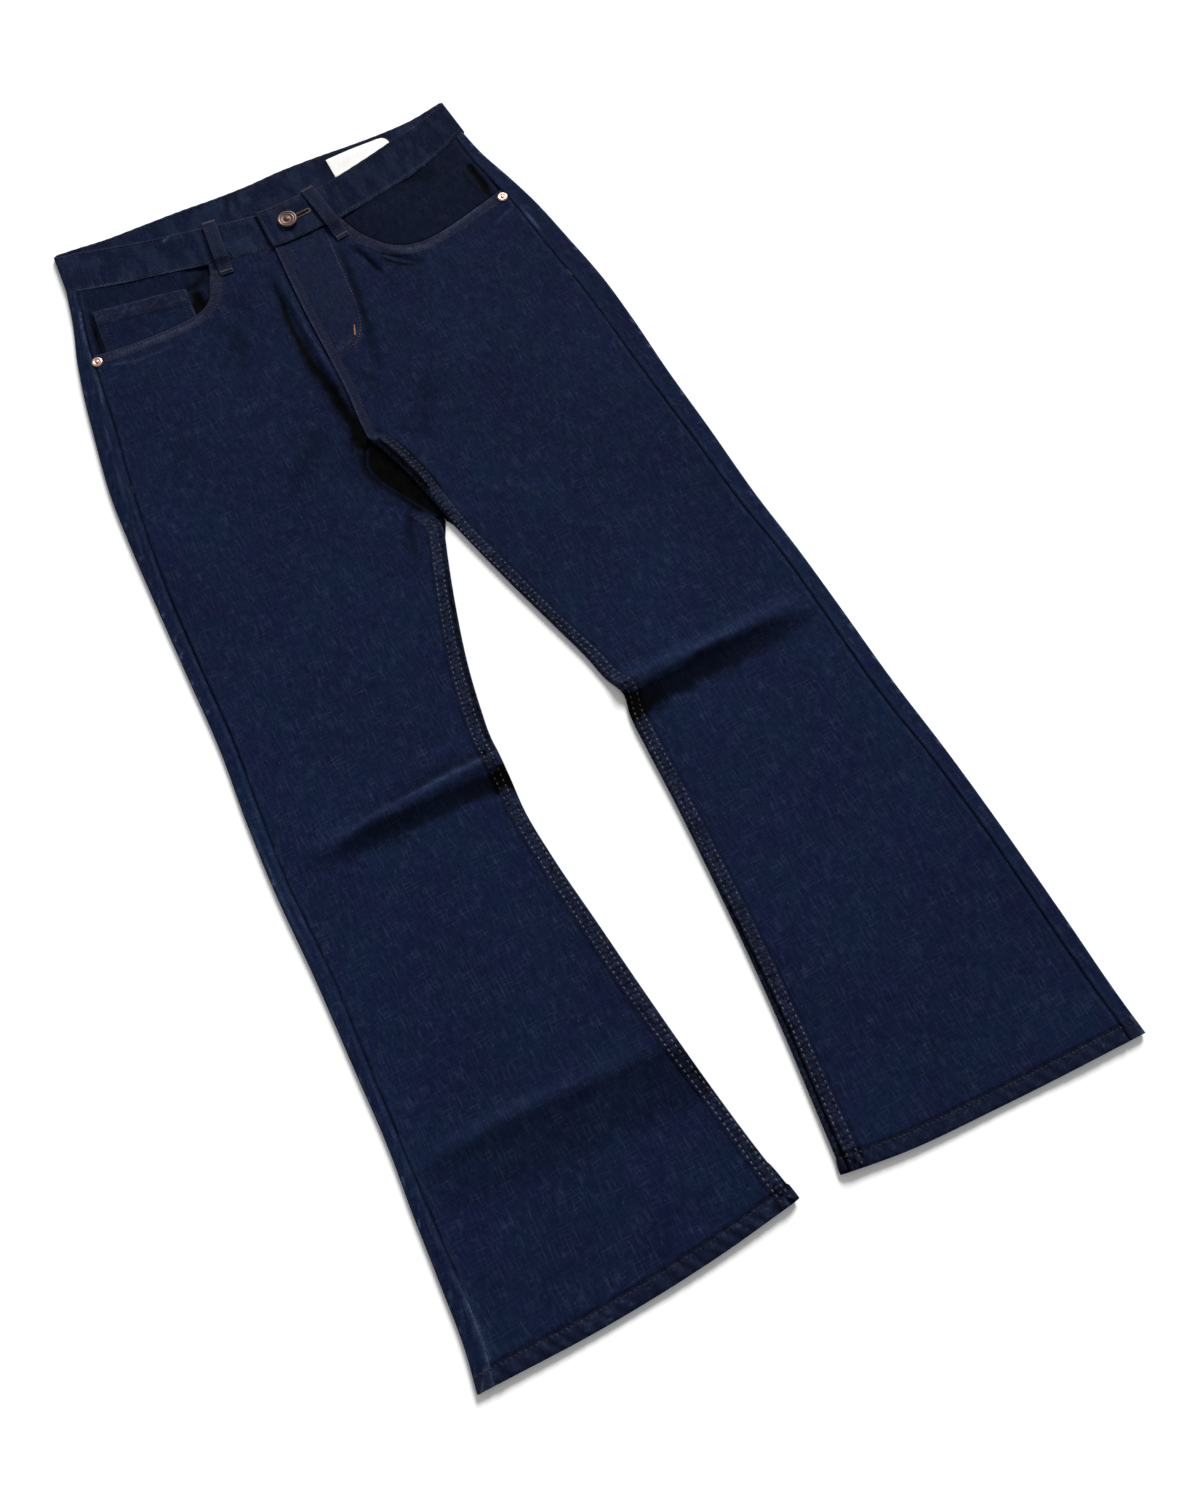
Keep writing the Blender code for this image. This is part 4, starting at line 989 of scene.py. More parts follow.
# Distances from an edge of a front panel of the close columns and rows beside it
INSEAM_COLUMNS = np.array([0, 0.25, 0.8, 1.5, *np.arange(2.4, 18, 0.85)])
OUTSEAM_COLUMNS = np.array([8.0, 6.2, 4.8, 3.6, 2.6, 1.7, 0.9, 0.4, 0])
HEM_ROWS = np.array([0, 0.4, 0.9, 1.6, 2.6, 4, 5.6, 7.4, 9, 10, 10.8, 11.6, 12.4, 13.2, 14.2, 15.6, 17.4])
MOUTH_EDGE_ROWS = np.array([14.4, 12.8, 11.6, 10.6, 9.6, 8.6, 7.8, 6.6, 5.4, 4.2, 3.2, 2.4, 1.6, 0.9, 0.4, 0])
OPEN_COLUMNS = 74
BAND_COLUMNS = 22


def close_to_end(start, end, count, close):
    """Evenly spaced values from start, then values at the close distances before the end."""
    return np.concatenate([np.linspace(start, end - close[0], count), end - close[1:]])


def leg_levels(close, top, cell):
    """Levels up a leg: close rows at the hem, then rows about a cell apart up to the top."""
    close = LEVEL_HEM_Y + close
    return np.concatenate([close, np.linspace(close[-1] + cell, top, int((top - close[-1]) / cell))])


def front_plan(side, cell):
    """Plan points of a front panel: rows from hem to waistband, columns from inner edge to outseam."""
    sign = SIDES[side]
    plan = []
    for y in leg_levels(HEM_ROWS, POCKET_ZONE_Y, cell):
        seam = outseam(side, y) - SEAM_GAP / 2
        start = sign * front_edge(side, y) + INSEAM_COLUMNS
        x = sign * np.concatenate([start, close_to_end(start[-1], seam, OPEN_COLUMNS, OUTSEAM_COLUMNS)[1:]])
        plan.append(np.stack([x, y + hem_sway(side, x, y)], axis=1))

    mouth = mouth_line(side)
    mouth[-1, 0] = sign * (outseam(side, mouth[-1, 1]) - SEAM_GAP / 2)
    run = lengths(mouth)
    mouth = points_at(mouth, run, close_to_end(0, run[-1], OPEN_COLUMNS - BAND_COLUMNS, OUTSEAM_COLUMNS))
    band_x = front_edge(side, FRONT_RISE[-1].y) + sign * INSEAM_COLUMNS
    band_x = np.concatenate([band_x, np.linspace(band_x[-1], mouth[0, 0], BAND_COLUMNS + 1)[1:]])
    high = np.concatenate([np.stack([band_x, band_low(band_x) - SEAM_GAP], axis=1), mouth[1:]])
    zone_rows = int((high[0, 1] - POCKET_ZONE_Y) / cell)
    rise_y = close_to_end(POCKET_ZONE_Y, high[0, 1], zone_rows, MOUTH_EDGE_ROWS)
    seam_y = close_to_end(POCKET_ZONE_Y, high[-1, 1], zone_rows, MOUTH_EDGE_ROWS)
    start = np.stack([front_edge(side, rise_y), rise_y], axis=1)
    end = np.stack([sign * (outseam(side, seam_y) - SEAM_GAP / 2), seam_y], axis=1)
    return np.concatenate([plan, filled(plan[-1], high, start, end)[1:]])


class JEANS_OT_front_panels(bpy.types.Operator):
    """Cut the two front panels, with fly, felled inseams, pocket mouths and hems"""

    bl_idname = "jeans.front_panels"
    bl_label = "Front panels"

    def execute(self, context):
        for side in SIDES:
            plan = front_plan(side, in_mm("jeans_cloth").cell)
            x, y = plan[..., 0], plan[..., 1]
            rolled = leg_share(y) * (np.abs(x - front_edge(side, y)) < 1.01 * roll_width(side, y))
            points = np.stack([x, y, front_face(side, x, y)], axis=2)
            thickness = panel_thickness(y)
            over_back = np.maximum(thickness + SEAM_GAP, rolled * edge_height(y))
            marks = front_marks(side, x, y)
            piece = cloth_wall(f"front_{side}_cloth", points, thickness, (60, 40, 1), marks, low=over_back)
            finish_cloth(piece, denim(), points, 260, 970)
        return {"FINISHED"}


# Back panels and yokes

EDGE_TURNS = np.radians(np.linspace(0, 90, 7))
BEND_TURNS = np.radians(np.linspace(15, 180, 12))
FLOOR_COLUMNS = 26
STRIP_SHARES = np.array([0.12, 0.25, 0.4, 0.55, 0.68, 0.8, 0.9, 0.96, 1.0])


def back_section(side, y_inner, y_at):
    """Points of one section on the outer face: inner edge, floor, outer fold, and on top to the outseam."""
    sign = SIDES[side]
    rolled = float(falling(y_inner, FORK_Y, BACK_ROLL_FADE))
    radius = fold_height(y_inner) / 2
    start_x = back_edge(side, y_inner) + sign * radius * (1 - np.cos(EDGE_TURNS))
    start_z = rolled * (radius - SEAM_GAP / 2) * (1 - np.sin(EDGE_TURNS))
    outer = sign * outer_fold(side, y_inner)
    floor_x = np.linspace(start_x[-1], outer - sign * radius, FLOOR_COLUMNS + 1)[1:]
    bend_x = outer - sign * radius * (1 - np.sin(BEND_TURNS))
    bend_z = radius * (1 - np.cos(BEND_TURNS))
    seam_x = sign * (outseam(side, y_inner) + SEAM_GAP / 2)
    strip_x = bend_x[-1] + STRIP_SHARES * (seam_x - bend_x[-1])
    x = np.concatenate([start_x, floor_x, bend_x, strip_x])
    z = np.concatenate([start_z, np.zeros(FLOOR_COLUMNS), bend_z, np.full(len(strip_x), 2 * radius)])
    return np.stack([x, y_at(x, z / (2 * radius)), z], axis=1)


# Rubbed light on the outer folds
STRIP_LIGHTS = {
    "right": [
        [(-190.5, 468, 1, 0.3), (-198, 450, 1.1, 0.7), (-203, 433, 1.1, 0.7), (-206, 405, 1.1, 0.5),
         (-209, 378, 1.1, 0.5), (-222, 320, 1.2, 0.35), (-230, 262, 1.2, 0.3), (-238, 200, 1.2, 0.2)],
        [(-250, -60, 1.1, 0.1), (-252, -120, 1.2, 0.35), (-251, -190, 1.1, 0.1)],
    ],
    "left": [
        [(207.5, 372, 1.2, 0.2), (210.4, 350, 1.4, 0.9), (212, 336, 1.2, 0.2)],
        [(246, 40, 1.1, 0.1), (249, -20, 1.2, 0.35), (252, -70, 1.1, 0.1)],
    ],
}


def back_dressed(side, points):
    """Adds the pressed outseam and its ripples to the strip on top, and gives the marks of the whole, with
    painted shade.
    """
    sizes = in_mm("jeans_cloth")
    x, y, z = points[..., 0], points[..., 1], points[..., 2].copy()
    share = z / fold_height(y)
    top, on_edge = rising(share, 0.7, 0.3), rising(share, 0.3, 0.3)
    in_seam = np.abs(np.abs(x) - outseam(side, y))
    fold = np.abs(np.abs(x) - outer_fold(side, y))
    above_hem, slanted, in_hem = hem_places(side, x, y)
    opened, closed = seam_closure(side, y)
    upper = rising(y, 130, 90)

    pressed = sizes.seam_ridge * (0.9 * bell(in_seam - 4, 3.2) - 1.6 * bell(in_seam, 1.1))
    wave = 0.5 * sizes.pucker * bell(in_seam - 5, 7) * ripple(y, 12, 81)
    roping = 0.6 * sizes.roping * bell(above_hem - 6, 7) * ripple(slanted, 8, 83)
    points[..., 2] = z + top * (pressed + wave + roping - 0.8 * bell(above_hem, 1.2))

    patchy = patches(x, y, 4, 7, 85)
    worn = 0.2 * bell(fold, 1.8) * ease(z / 2) + 0.3 * bell(above_hem - 0.8, 1.6)
    worn = (worn + 0.16 * top * bell(in_seam - 2.6, 1.3)) * patchy
    worn += 0.7 * on_edge * bell(fold - 1.5, 3.5) * flecks(x, y, 2.2, 4.2, 86, 0.58)
    worn += on_edge * brushed(STRIP_LIGHTS[side], x, y)
    worn += 0.5 * in_hem * flecks(slanted, above_hem, 2.2, 3, 87, 0.5)
    worn += 0.9 * opened * top * bell(in_seam, 1.4) * patchy

    # painted shade in the closed outseam, the hem and above it, down the leg, and near black between the legs
    shaded = (0.95 - 0.45 * upper) * closed * top * bell(in_seam, 1) + 0.2 * in_hem + 0.15 * upper * top
    shaded += 0.1 * falling(y, -160, 240) + 0.5 * bell(above_hem - HEM_DEPTH - 0.6, 1.2)
    shaded += 1.6 * bell(x + 25.5, 9) * bell(y - 203, 11) + 1.4 * bell(x - FORK_X, 11) * bell(y - 102, 20)
    return points, {"worn": worn, "browned": 0.4 * in_hem, "shaded": shaded}


class JEANS_OT_back_panels(bpy.types.Operator):
    """Cut the two back panels, which wrap over the outer folds to the outseams"""

    bl_idname = "jeans.back_panels"
    bl_label = "Back panels"

    def execute(self, context):
        cell = 1.4 * in_mm("jeans_cloth").cell
        top = POCKET_ZONE_Y + 66
        rows = leg_levels(np.array([0, 0.6, 1.6]), top, cell)
        for side in SIDES:
            sections = [back_section(side, y, lambda x, _, y=y: y + hem_sway(side, x, y)) for y in rows]
            for share in np.linspace(0, 1, 6)[1:]:

                def slanted(x, _, share=share):
                    return top + share * (yoke_line(x) - SEAM_GAP / 2 - top)

                sections.append(back_section(side, top + share * (YOKE_SIDE_Y - top), slanted))
            points, marks = back_dressed(side, np.array(sections))
            grain, thickness = unrolled(points), panel_thickness(points[..., 1])
            high = np.full(points.shape[:2], np.inf)
            rolled_rows = points[:, 0, 2] > SEAM_GAP
            high[rolled_rows, : len(EDGE_TURNS)] = points[rolled_rows, 0, 2][:, None]
            name = f"back_{side}_cloth"
            piece = cloth_wall(name, points, thickness, (60, 12, -1), marks, grain, high=high)
            finish_cloth(piece, denim(), points, 305, 955)
        return {"FINISHED"}


class JEANS_OT_yokes(bpy.types.Operator):
    """Cut the two halves of the yoke, under the waistband at the back"""

    bl_idname = "jeans.yokes"
    bl_label = "Yokes"

    def execute(self, context):
        for side in SIDES:
            sections = []
            for share in np.linspace(0, 1, 22):

                def slanted(x, up, share=share):
                    low = yoke_line(x) + SEAM_GAP / 2
                    high = (1 - up) * band_back_low(x) + up * band_low(x) - SEAM_GAP
                    return low + share * (high - low)

                side_y = YOKE_SIDE_Y + share * (BAND_SIDE_Y - YOKE_SIDE_Y)
                sections.append(back_section(side, side_y, slanted))
            points, marks = back_dressed(side, np.array(sections))
            piece = cloth_wall(f"yoke_{side}_cloth", points, CLOTH, (3, 12, -1), marks, unrolled(points))
            finish_cloth(piece, denim(), points, 235, 90)
        return {"FINISHED"}


class JEANS_OT_crotch_fold(bpy.types.Operator):
    """Lay the stretch of the backs that turns up between the two inseams"""

    bl_idname = "jeans.crotch_fold"
    bl_label = "Crotch fold"

    def execute(self, context):
        shares = np.linspace(0, 1, 25)
        rows, shade = [], []
        for climb in np.linspace(0, 1, 49):
            y = CROTCH_FOLD_Y[0] + climb * (CROTCH_FOLD_Y[1] - CROTCH_FOLD_Y[0])
            left_x, right_x = front_edge("left", y) - SEAM_GAP, front_edge("right", y) + SEAM_GAP
            x = right_x + shares * (left_x - right_x)
            hollow = np.sin(math.pi * shares) ** 0.7
            height = edge_height(y) + 0.35 * (1 - hollow)
            rows.append(np.stack([x, np.full(len(x), y), height], axis=1))
            # painted shade: the fold is darkened to near black, a little less beside the right panel's edge
            shade.append(0.85 + 0.45 * rising(x, right_x + 1, 4))
        points = np.array(rows)
        marks = {"worn": 0.0, "browned": 0.0, "shaded": np.array(shade)}
        piece = cloth_wall("crotch_fold_cloth", points, CLOTH, (20, 12, 1), marks)
        finish_cloth(piece, denim(), points, 36, 92)
        return {"FINISHED"}


# Waistband

# Shares of the waistband's height: its mesh's rows, close at the edges, and its two rows of stitches
BAND_EDGE = np.array([0, 0.012, 0.035, 0.06, 0.085, 0.12, 0.2])
BAND_UP = np.concatenate([BAND_EDGE, [0.3, 0.4, 0.5, 0.6, 0.7], 1 - BAND_EDGE[::-1]])
BAND_ROWS = (0.062, 0.938)


def band_face(x):
    """Height of the front half's upper face: it rises over the underlap."""
    lap = BAND_CLOTH + SEAM_GAP
    return BAND_TOP + lap * falling(x, LAP_START_X + LAP_FADE, LAP_FADE)


def band_point(x, up, z):
    """Plan point of the waistband at a share of its height; z tells the front half from the back."""
    front = np.clip(z / BAND_TOP, 0, 1)
    back_top = column(BAND, "back_top", x)
    low = front * column(BAND, "front_low", x) + (1 - front) * (back_top - BAND_HEIGHT)
    top = front * column(BAND, "front_top", x) + (1 - front) * back_top
    return x * (1 + (BAND_FLARE - 1) * (1 - up)), low + up * (top - low)


def band_relief(run, up, seed):
    """Rounded edges, stitch grooves and ripples of the waistband, by the distance run along it."""
    sizes = in_mm("jeans_cloth")
    near = np.minimum(up, 1 - up) * BAND_HEIGHT
    raised = -0.7 * bell(near, 0.9)
    for row in BAND_ROWS:
        raised -= sizes.groove * bell((up - row) * BAND_HEIGHT, 0.9)
    low_wave = bell(up * BAND_HEIGHT - 5, 8) * ripple(run, 8.5, seed)
    top_wave = bell((1 - up) * BAND_HEIGHT - 5, 8) * ripple(run, 9.5, seed + 2)
    broad = 0.3 * lumps(run, up * BAND_HEIGHT, 26, 18, seed + 4)
    return raised + 0.9 * sizes.pucker * (low_wave + top_wave) + broad * ease(near / 4)


class JEANS_OT_waistband(bpy.types.Operator):
    """Lay the waistband from the buttonhole end round the back to the button end"""

    bl_idname = "jeans.waistband"
    bl_label = "Waistband"

    def execute(self, context):
        radius = BAND_TOP / 2
        straight = BAND_SIDE - radius
        bend = np.radians(np.linspace(0, 180, 14)[1:-1])
        front_x = np.linspace(BAND_END_X, straight, 94)
        path = [(x, band_face(x)) for x in front_x]
        path += [(straight + radius * math.sin(a), radius * (1 + math.cos(a))) for a in bend]
        path += [(x, 0.0) for x in np.linspace(straight, -straight, 170)]
        path += [(-straight - radius * math.sin(a), radius * (1 - math.cos(a))) for a in bend]
        path += [(x, BAND_TOP) for x in np.linspace(-straight, UNDERLAP_END_X, 98)]
        path = np.array(path)
        run = lengths(path)[:, None]
        x, z = path[:, :1], path[:, 1:]
        up = BAND_UP[None, :]
        plan_x, plan_y = band_point(x, up, z)
        ripples = band_relief(run, up, 101)
        top = rising(z / BAND_TOP, 0.75, 0.25)
        points = np.stack([plan_x, plan_y, np.broadcast_to(z, plan_x.shape) + top * ripples], axis=2)
        thickness = BAND_CLOTH + (1 - top) * ripples * ease(1 - z / BAND_TOP)
        under = top * (x > UNDERLAP_END_X - 60) * (run > 500)
        points[..., 2] -= under * 0.3
        near = np.minimum(up, 1 - up) * BAND_HEIGHT
        patchy = patches(run, up * BAND_HEIGHT, 5, 4, 107)
        on_top, inside = top * np.ones_like(near), (z < 1) * np.ones_like(near)
        # rubbed wear at the edges, and a painted highlight on the crests of the ripples
        worn = (0.2 * bell(near, 1.5) + 0.14 * np.clip(ripples / 0.4, 0, 1)) * patchy
        worn += on_top * brushed(BAND_LIGHTS, plan_x, plan_y)
        # painted highlights on the wrinkles inside the back
        worn += inside * brushed(WRINKLE_LIGHTS, plan_x, plan_y)
        low_edge = bell(up * BAND_HEIGHT - 2, 2.2)
        worn += 0.6 * low_edge * flecks(run, up * BAND_HEIGHT, 3.4, 2.4, 108, 0.5)
        worn += 0.3 * bell(run - 0.8, 1.4)
        worn += 0.12 * flecks(run, up * BAND_HEIGHT, 6, 15, 109, 0.1)
        centre = bell(plan_x - 8, 40)
        browned = (0.1 + 0.5 * centre) * bell(near - 2.5, 3.5) + on_top * brushed(BAND_BROWNS, plan_x, plan_y)
        hole = near_line(HOLE_SLIT, plan_x, plan_y)[0]
        # painted shade in the buttonhole's slit, at the band's ends, over the band, in the wrinkles and on
        # its left front
        shaded = top * (z > BAND_TOP + 1) * bell(hole, 0.8)
        shaded += 0.6 * bell(run, 1.0) + 0.31 + inside * brushed(WRINKLE_SHADOWS, plan_x, plan_y)
        shaded += 0.14 * top * rising(plan_x, 40, 30)
        rungs = 0.5 * bell(near - 2.9, 1.6) * patchy
        phase = run / in_mm("jeans_threads").short_pitch * np.ones_like(near)
        marks = {"worn": worn, "browned": browned, "shaded": shaded, "rungs": rungs, "phase": phase}
        grain = np.stack(np.broadcast_arrays(run, up * BAND_HEIGHT), axis=2)
        piece = cloth_wall("waistband_cloth", points, thickness, (20, 9, 1), marks, grain)
        finish_cloth(piece, denim(), points, 850, 46.5)
        return {"FINISHED"}


BAND_LIGHTS = [
    [(-198, 477, 1.4, 0.2), (-172, 470, 1.5, 0.7), (-149, 463, 1.5, 0.8), (-122, 456, 1.5, 0.7),
     (-106, 454, 1.4, 0.7), (-82, 448, 1.3, 0.1)],
    [(-101, 490.5, 1.2, 0.9), (-97, 492, 1.2, 0.9)],
    [(158, 506, 1.6, 0.5), (161, 500, 1.6, 0.5)],
    [(54, 439.5, 1.2, 0.4), (75, 443.2, 1.3, 0.55), (100, 447.2, 1.3, 0.5), (135, 454.4, 1.3, 0.5),
     (160, 462, 1.2, 0.3), (186, 473, 1.2, 0.1)],
]

BAND_BROWNS = [
    [(-66, 486, 4, 0.6), (-50, 480, 4, 0.6)],
    [(-30, 478, 3, 0.5), (-10, 475, 3, 0.7), (10, 474.5, 3, 0.8), (30, 476.5, 3, 0.8), (38, 478, 3, 0.5)],
]

# Painted highlights on the wrinkles inside the back of the waistband
WRINKLE_LIGHTS = [
    [(-36, 515, 2.2, 0.1), (-38, 507, 2.6, 0.3), (-41, 498, 2.2, 0.1)],
    [(-28.7, 509, 2.2, 0.1), (-31, 499, 2.6, 0.3), (-33, 489, 2.2, 0.1)],
    [(-18, 511, 2.2, 0.1), (-20, 504, 2.4, 0.25), (-22, 497, 2.2, 0.1)],
]

# Painted shade in the wrinkles inside the back of the waistband, and beside the label
WRINKLE_SHADOWS = [
    [(-31, 515, 2.4, 0.2), (-34, 505, 2.6, 0.6), (-38, 494, 2.2, 0.2)],
    [(-24, 513, 2.2, 0.2), (-26, 500, 2.4, 0.6), (-29, 490, 2.2, 0.2)],
    [(60, 512, 6, 0.1), (66, 500, 5, 0.5), (67, 490, 5, 0.3)],
]

HOLE_SLIT = np.stack([np.linspace(9, 30, 22), np.linspace(454.6, 456.2, 22)], axis=1)


# Pockets

FACING_FOLDS = table(
    "x1 y1 x2 y2 height width",
    (187, 437, 190, 400, -1.6, 2.6), (180, 438, 184, 402, 0.8, 3),  # slit beside the left outseam
    (-97, 424, -101, 401, -1.4, 4), (96, 432, 134, 408, 0.4, 10),  # beside the coin pocket
    (120, 452, 160, 440, -0.3, 9), (-110, 458, -170, 470, -0.3, 6),
)

# Brush strokes of painted shade on the facings
FACING_SHADOWS = {
    "right": [
        # the hollow beside the coin pocket
        [(-106, 412, 4, 0.9), (-99, 405, 5, 1.2), (-92, 410, 4, 0.6)],
        [(-101, 431, 4, 0.7), (-90, 434, 5, 0.6), (-78, 446, 4, 0.4)],
        [(-190.5, 444, 2.4, 0.5), (-194, 424, 2.6, 0.9), (-196, 404, 2.2, 0.5)],
    ],
    "left": [[(184.3, 430, 1.6, 0.3), (187.7, 414, 2, 0.9), (188.5, 403, 2, 0.9), (190.4, 392, 1.8, 0.6)]],
}


def facing_face(side, x, y):
    """Upper face of a facing: sunk under the front panel's edge, nearly level with it further in."""
    sunk = CLOTH + SEAM_GAP + (COIN_CLOTH + SEAM_GAP if side == "right" else 0)
    depth = mouth_depth(side, x, y)
    share = 1 - FACING_RISE * rising(depth, 4, FACING_RISE_REACH)
    height = np.minimum(fold_height(y), solid_front(side, x, y)) - sunk * share
    shown = ease(depth / 4)
    height += shown * (relief(FACING_FOLDS, x, y) + 0.22 * lumps(x, y, 22, 16, 111))
    return height + 0.12 * shown * bell(band_low(x) - y, 9) * ripple(x, 9, 113)


class JEANS_OT_pocket_facings(bpy.types.Operator):
    """Lay the denim that shows inside the two pocket mouths"""

    bl_idname = "jeans.pocket_facings"
    bl_label = "Pocket facings"

    def execute(self, context):
        for side, sign in SIDES.items():
            mouth = np.array([(p.x, p.y) for p in MOUTHS[side]])
            tucked = mouth + FACING_TUCK * to_the_right(mouth)
            inner_x = mouth[0, 0] - FACING_TUCK
            tucked[0] = (inner_x, band_low(sign * inner_x) - SEAM_GAP)
            tucked[-1, 0] = outseam(side, tucked[-1, 1]) - SEAM_GAP
            low = resampled(tucked[MOUTH_BEND:], 66)
            start = resampled(tucked[MOUTH_BEND::-1], 46)
            corner_y = band_low(sign * (outseam(side, BAND_SIDE_Y) - SEAM_GAP)) - SEAM_GAP
            seam_y = np.linspace(low[-1, 1], corner_y, 46)
            end = np.stack([outseam(side, seam_y) - SEAM_GAP, seam_y], axis=1)
            top_x = np.linspace(start[-1, 0], end[-1, 0], 66)
            high = np.stack([top_x, band_low(sign * top_x) - SEAM_GAP], axis=1)
            plan = filled(low, high, start, end)
            x, y = sign * plan[..., 0], plan[..., 1]
            points = np.stack([x, y, facing_face(side, x, y)], axis=2)
            depth = mouth_depth(side, x, y)
            in_seam = np.abs(sign * outseam(side, y) - x)
            # painted shade: darker all over, and darker still under the mouth's edge, under the waistband and
            # in troughs
            shaded = 0.46 + 0.12 * (side == "left") + 0.75 * bell(depth, 2.6)
            shaded += 0.3 * bell(band_low(x) - y, 1.8) + brushed(FACING_SHADOWS[side], x, y)
            shaded += np.clip(-relief(FACING_FOLDS, x, y) / 1.1, 0, 1.2)
            worn = 0.18 * bell(in_seam - 3, 1.4) * ease(depth / 3)
            marks = {"worn": worn, "browned": 0.0, "shaded": shaded}
            name = f"pocket_facing_{side}_cloth"
            piece = cloth_wall(name, points, CLOTH, (20, 30, 1), marks, low=CLOTH + SEAM_GAP)
            finish_cloth(piece, denim(), points, 165, 105)
        return {"FINISHED"}


COIN_HEM = 15


def coin_plan(columns, rows):
    """Plan grid of the coin pocket and each point's share up it."""
    inner_low, inner_top, outer_top, outer_low = (np.array(c) for c in COIN_CORNERS)
    low, high = np.linspace(outer_low, inner_low, columns), np.linspace(outer_top, inner_top, columns)
    start, end = np.linspace(outer_low, outer_top, rows), np.linspace(inner_low, inner_top, rows)
    return filled(low, high, start, end)


def coin_face(x, y, from_top, from_side):
    """Upper face of the coin pocket: its turned hem stands up, and its sides are stitched down."""
    sizes = in_mm("jeans_cloth")
    height = facing_face("right", x, y) + SEAM_GAP + COIN_CLOTH
    height += 0.45 * falling(from_top, COIN_HEM, 1.5) - 0.5 * bell(from_top, 1.0)
    for row in (2.2, COIN_HEM - 2):
        height -= sizes.groove * bell(from_top - row, 0.9)
    height -= 0.5 * bell(from_side, 1.2)
    wave = ripple(x, 8, 121) * bell(from_top - 8, 9)
    return height + 0.8 * sizes.pucker * wave + 0.15 * lumps(x, y, 12, 12, 123)


class JEANS_OT_coin_pocket(bpy.types.Operator):
    """Lay the coin pocket on the right facing"""

    bl_idname = "jeans.coin_pocket"
    bl_label = "Coin pocket"

    def execute(self, context):
        plan = coin_plan(48, 34)
        x, y = plan[..., 0], plan[..., 1]
        from_top = np.linalg.norm(plan[-1:] - plan, axis=2)
        from_side = np.minimum(np.abs(x - x[:, :1]), np.abs(x - x[:, -1:]))
        points = np.stack([x, y, coin_face(x, y, from_top, from_side)], axis=2)
        patchy = patches(x, y, 4, 4, 125)
        worn = 0.3 * bell(from_top, 1.3) + 0.2 * bell(from_side, 1.2) + 0.16 * bell(from_top - COIN_HEM, 1.2)
        in_hem = falling(from_top, COIN_HEM + 1, 3)
        worn = worn * patchy + 0.2 * in_hem * flecks(x, y, 3.2, 2.6, 126, 0.35)
        browned = np.maximum(0.6 * in_hem, 0.5 * bell(from_side - 2, 4)) * patchy
        # painted shade under the mouth's edge and under the hem, and all over, with patches in the hem
        shaded = 0.6 * bell(mouth_depth("right", x, y), 2) + 0.5 * bell(from_top - COIN_HEM - 1.5, 1.5)
        shaded += 0.15 + 0.4 * in_hem * np.clip(lumps(x, y, 5, 4, 127), 0, 1)
        marks = {"worn": worn, "browned": browned, "shaded": shaded}
        piece = cloth_wall("coin_pocket_cloth", points, COIN_CLOTH, (20, 20, 1), marks)
        finish_cloth(piece, denim(), points, 90, 59)
        return {"FINISHED"}


# Belt loops and label

LOOP_ACROSS = np.array([-0.5, -0.47, -0.42, -0.34, -0.27, -0.18, 0, 0.18, 0.27, 0.34, 0.42, 0.47, 0.5])


def loop_point(line, share, across):
    """A point on a belt loop's upper face, by its shares along and across."""
    top, low = np.array((line.top_x, line.top_y)), np.array((line.low_x, line.low_y))
    along = (top - low) / np.linalg.norm(top - low)
    sideways = np.array((along[1], -along[0]))
    middle = low + share * (top - low)
    place = middle + across * LOOP_WIDTH * sideways
    corners = middle + np.array([[-0.5], [0.5]]) * LOOP_WIDTH * sideways
    panel = solid_front(line.side, corners[:, 0], corners[:, 1]).max()
    on_band = rising(share, LOOP_CLIMB[0], LOOP_CLIMB[1] - LOOP_CLIMB[0])
    rest = (1 - on_band) * panel + on_band * band_face(middle[0] - LOOP_WIDTH / 2)
    bow = LOOP_BOW * math.sin(math.pi * share) ** 2
    edge = 0.35 * bell(0.5 - abs(across), 0.05) + 0.2 * bell(abs(across) - 0.27, 0.06)
    end = 0.5 * bell(min(share, 1 - share), 0.02)
    return np.array([*place, rest + SEAM_GAP + LOOP_CLOTH + bow - edge - end])


class JEANS_OT_belt_loops(bpy.types.Operator):
    """Lay the two front belt loops over the waistband"""

    bl_idname = "jeans.belt_loops"
    bl_label = "Belt loops"

    def execute(self, context):
        for line in LOOPS:
            shares = np.concatenate([[0, 0.01, 0.025], np.linspace(0.05, 0.95, 34), [0.975, 0.99, 1]])
            points = np.array([[loop_point(line, up, across) for across in LOOP_ACROSS] for up in shares])
            run = shares[:, None] * 62
            points[..., 2] += 0.12 * ripple(run, 7, 131) * np.ones(len(LOOP_ACROSS))
            worn = 0.45 * bell(0.5 - np.abs(LOOP_ACROSS), 0.06)
            worn = worn + 0.5 * bell(np.minimum(shares, 1 - shares), 0.02)[:, None]
            near_end = bell(np.minimum(run, 62 - run), 6)
            browned = 0.35 + 0.2 * bell(np.abs(LOOP_ACROSS) - 0.27, 0.1) * np.ones_like(run) + 0.4 * near_end
            marks = {"worn": 0.6 * worn, "browned": browned, "shaded": 0.1 * np.ones_like(browned)}
            name = f"belt_loop_{line.side}_cloth"
            piece = cloth_wall(name, points, LOOP_CLOTH, (12, 6, 1), marks)
            finish_cloth(piece, denim(), points, 12.6, 68)
        return {"FINISHED"}


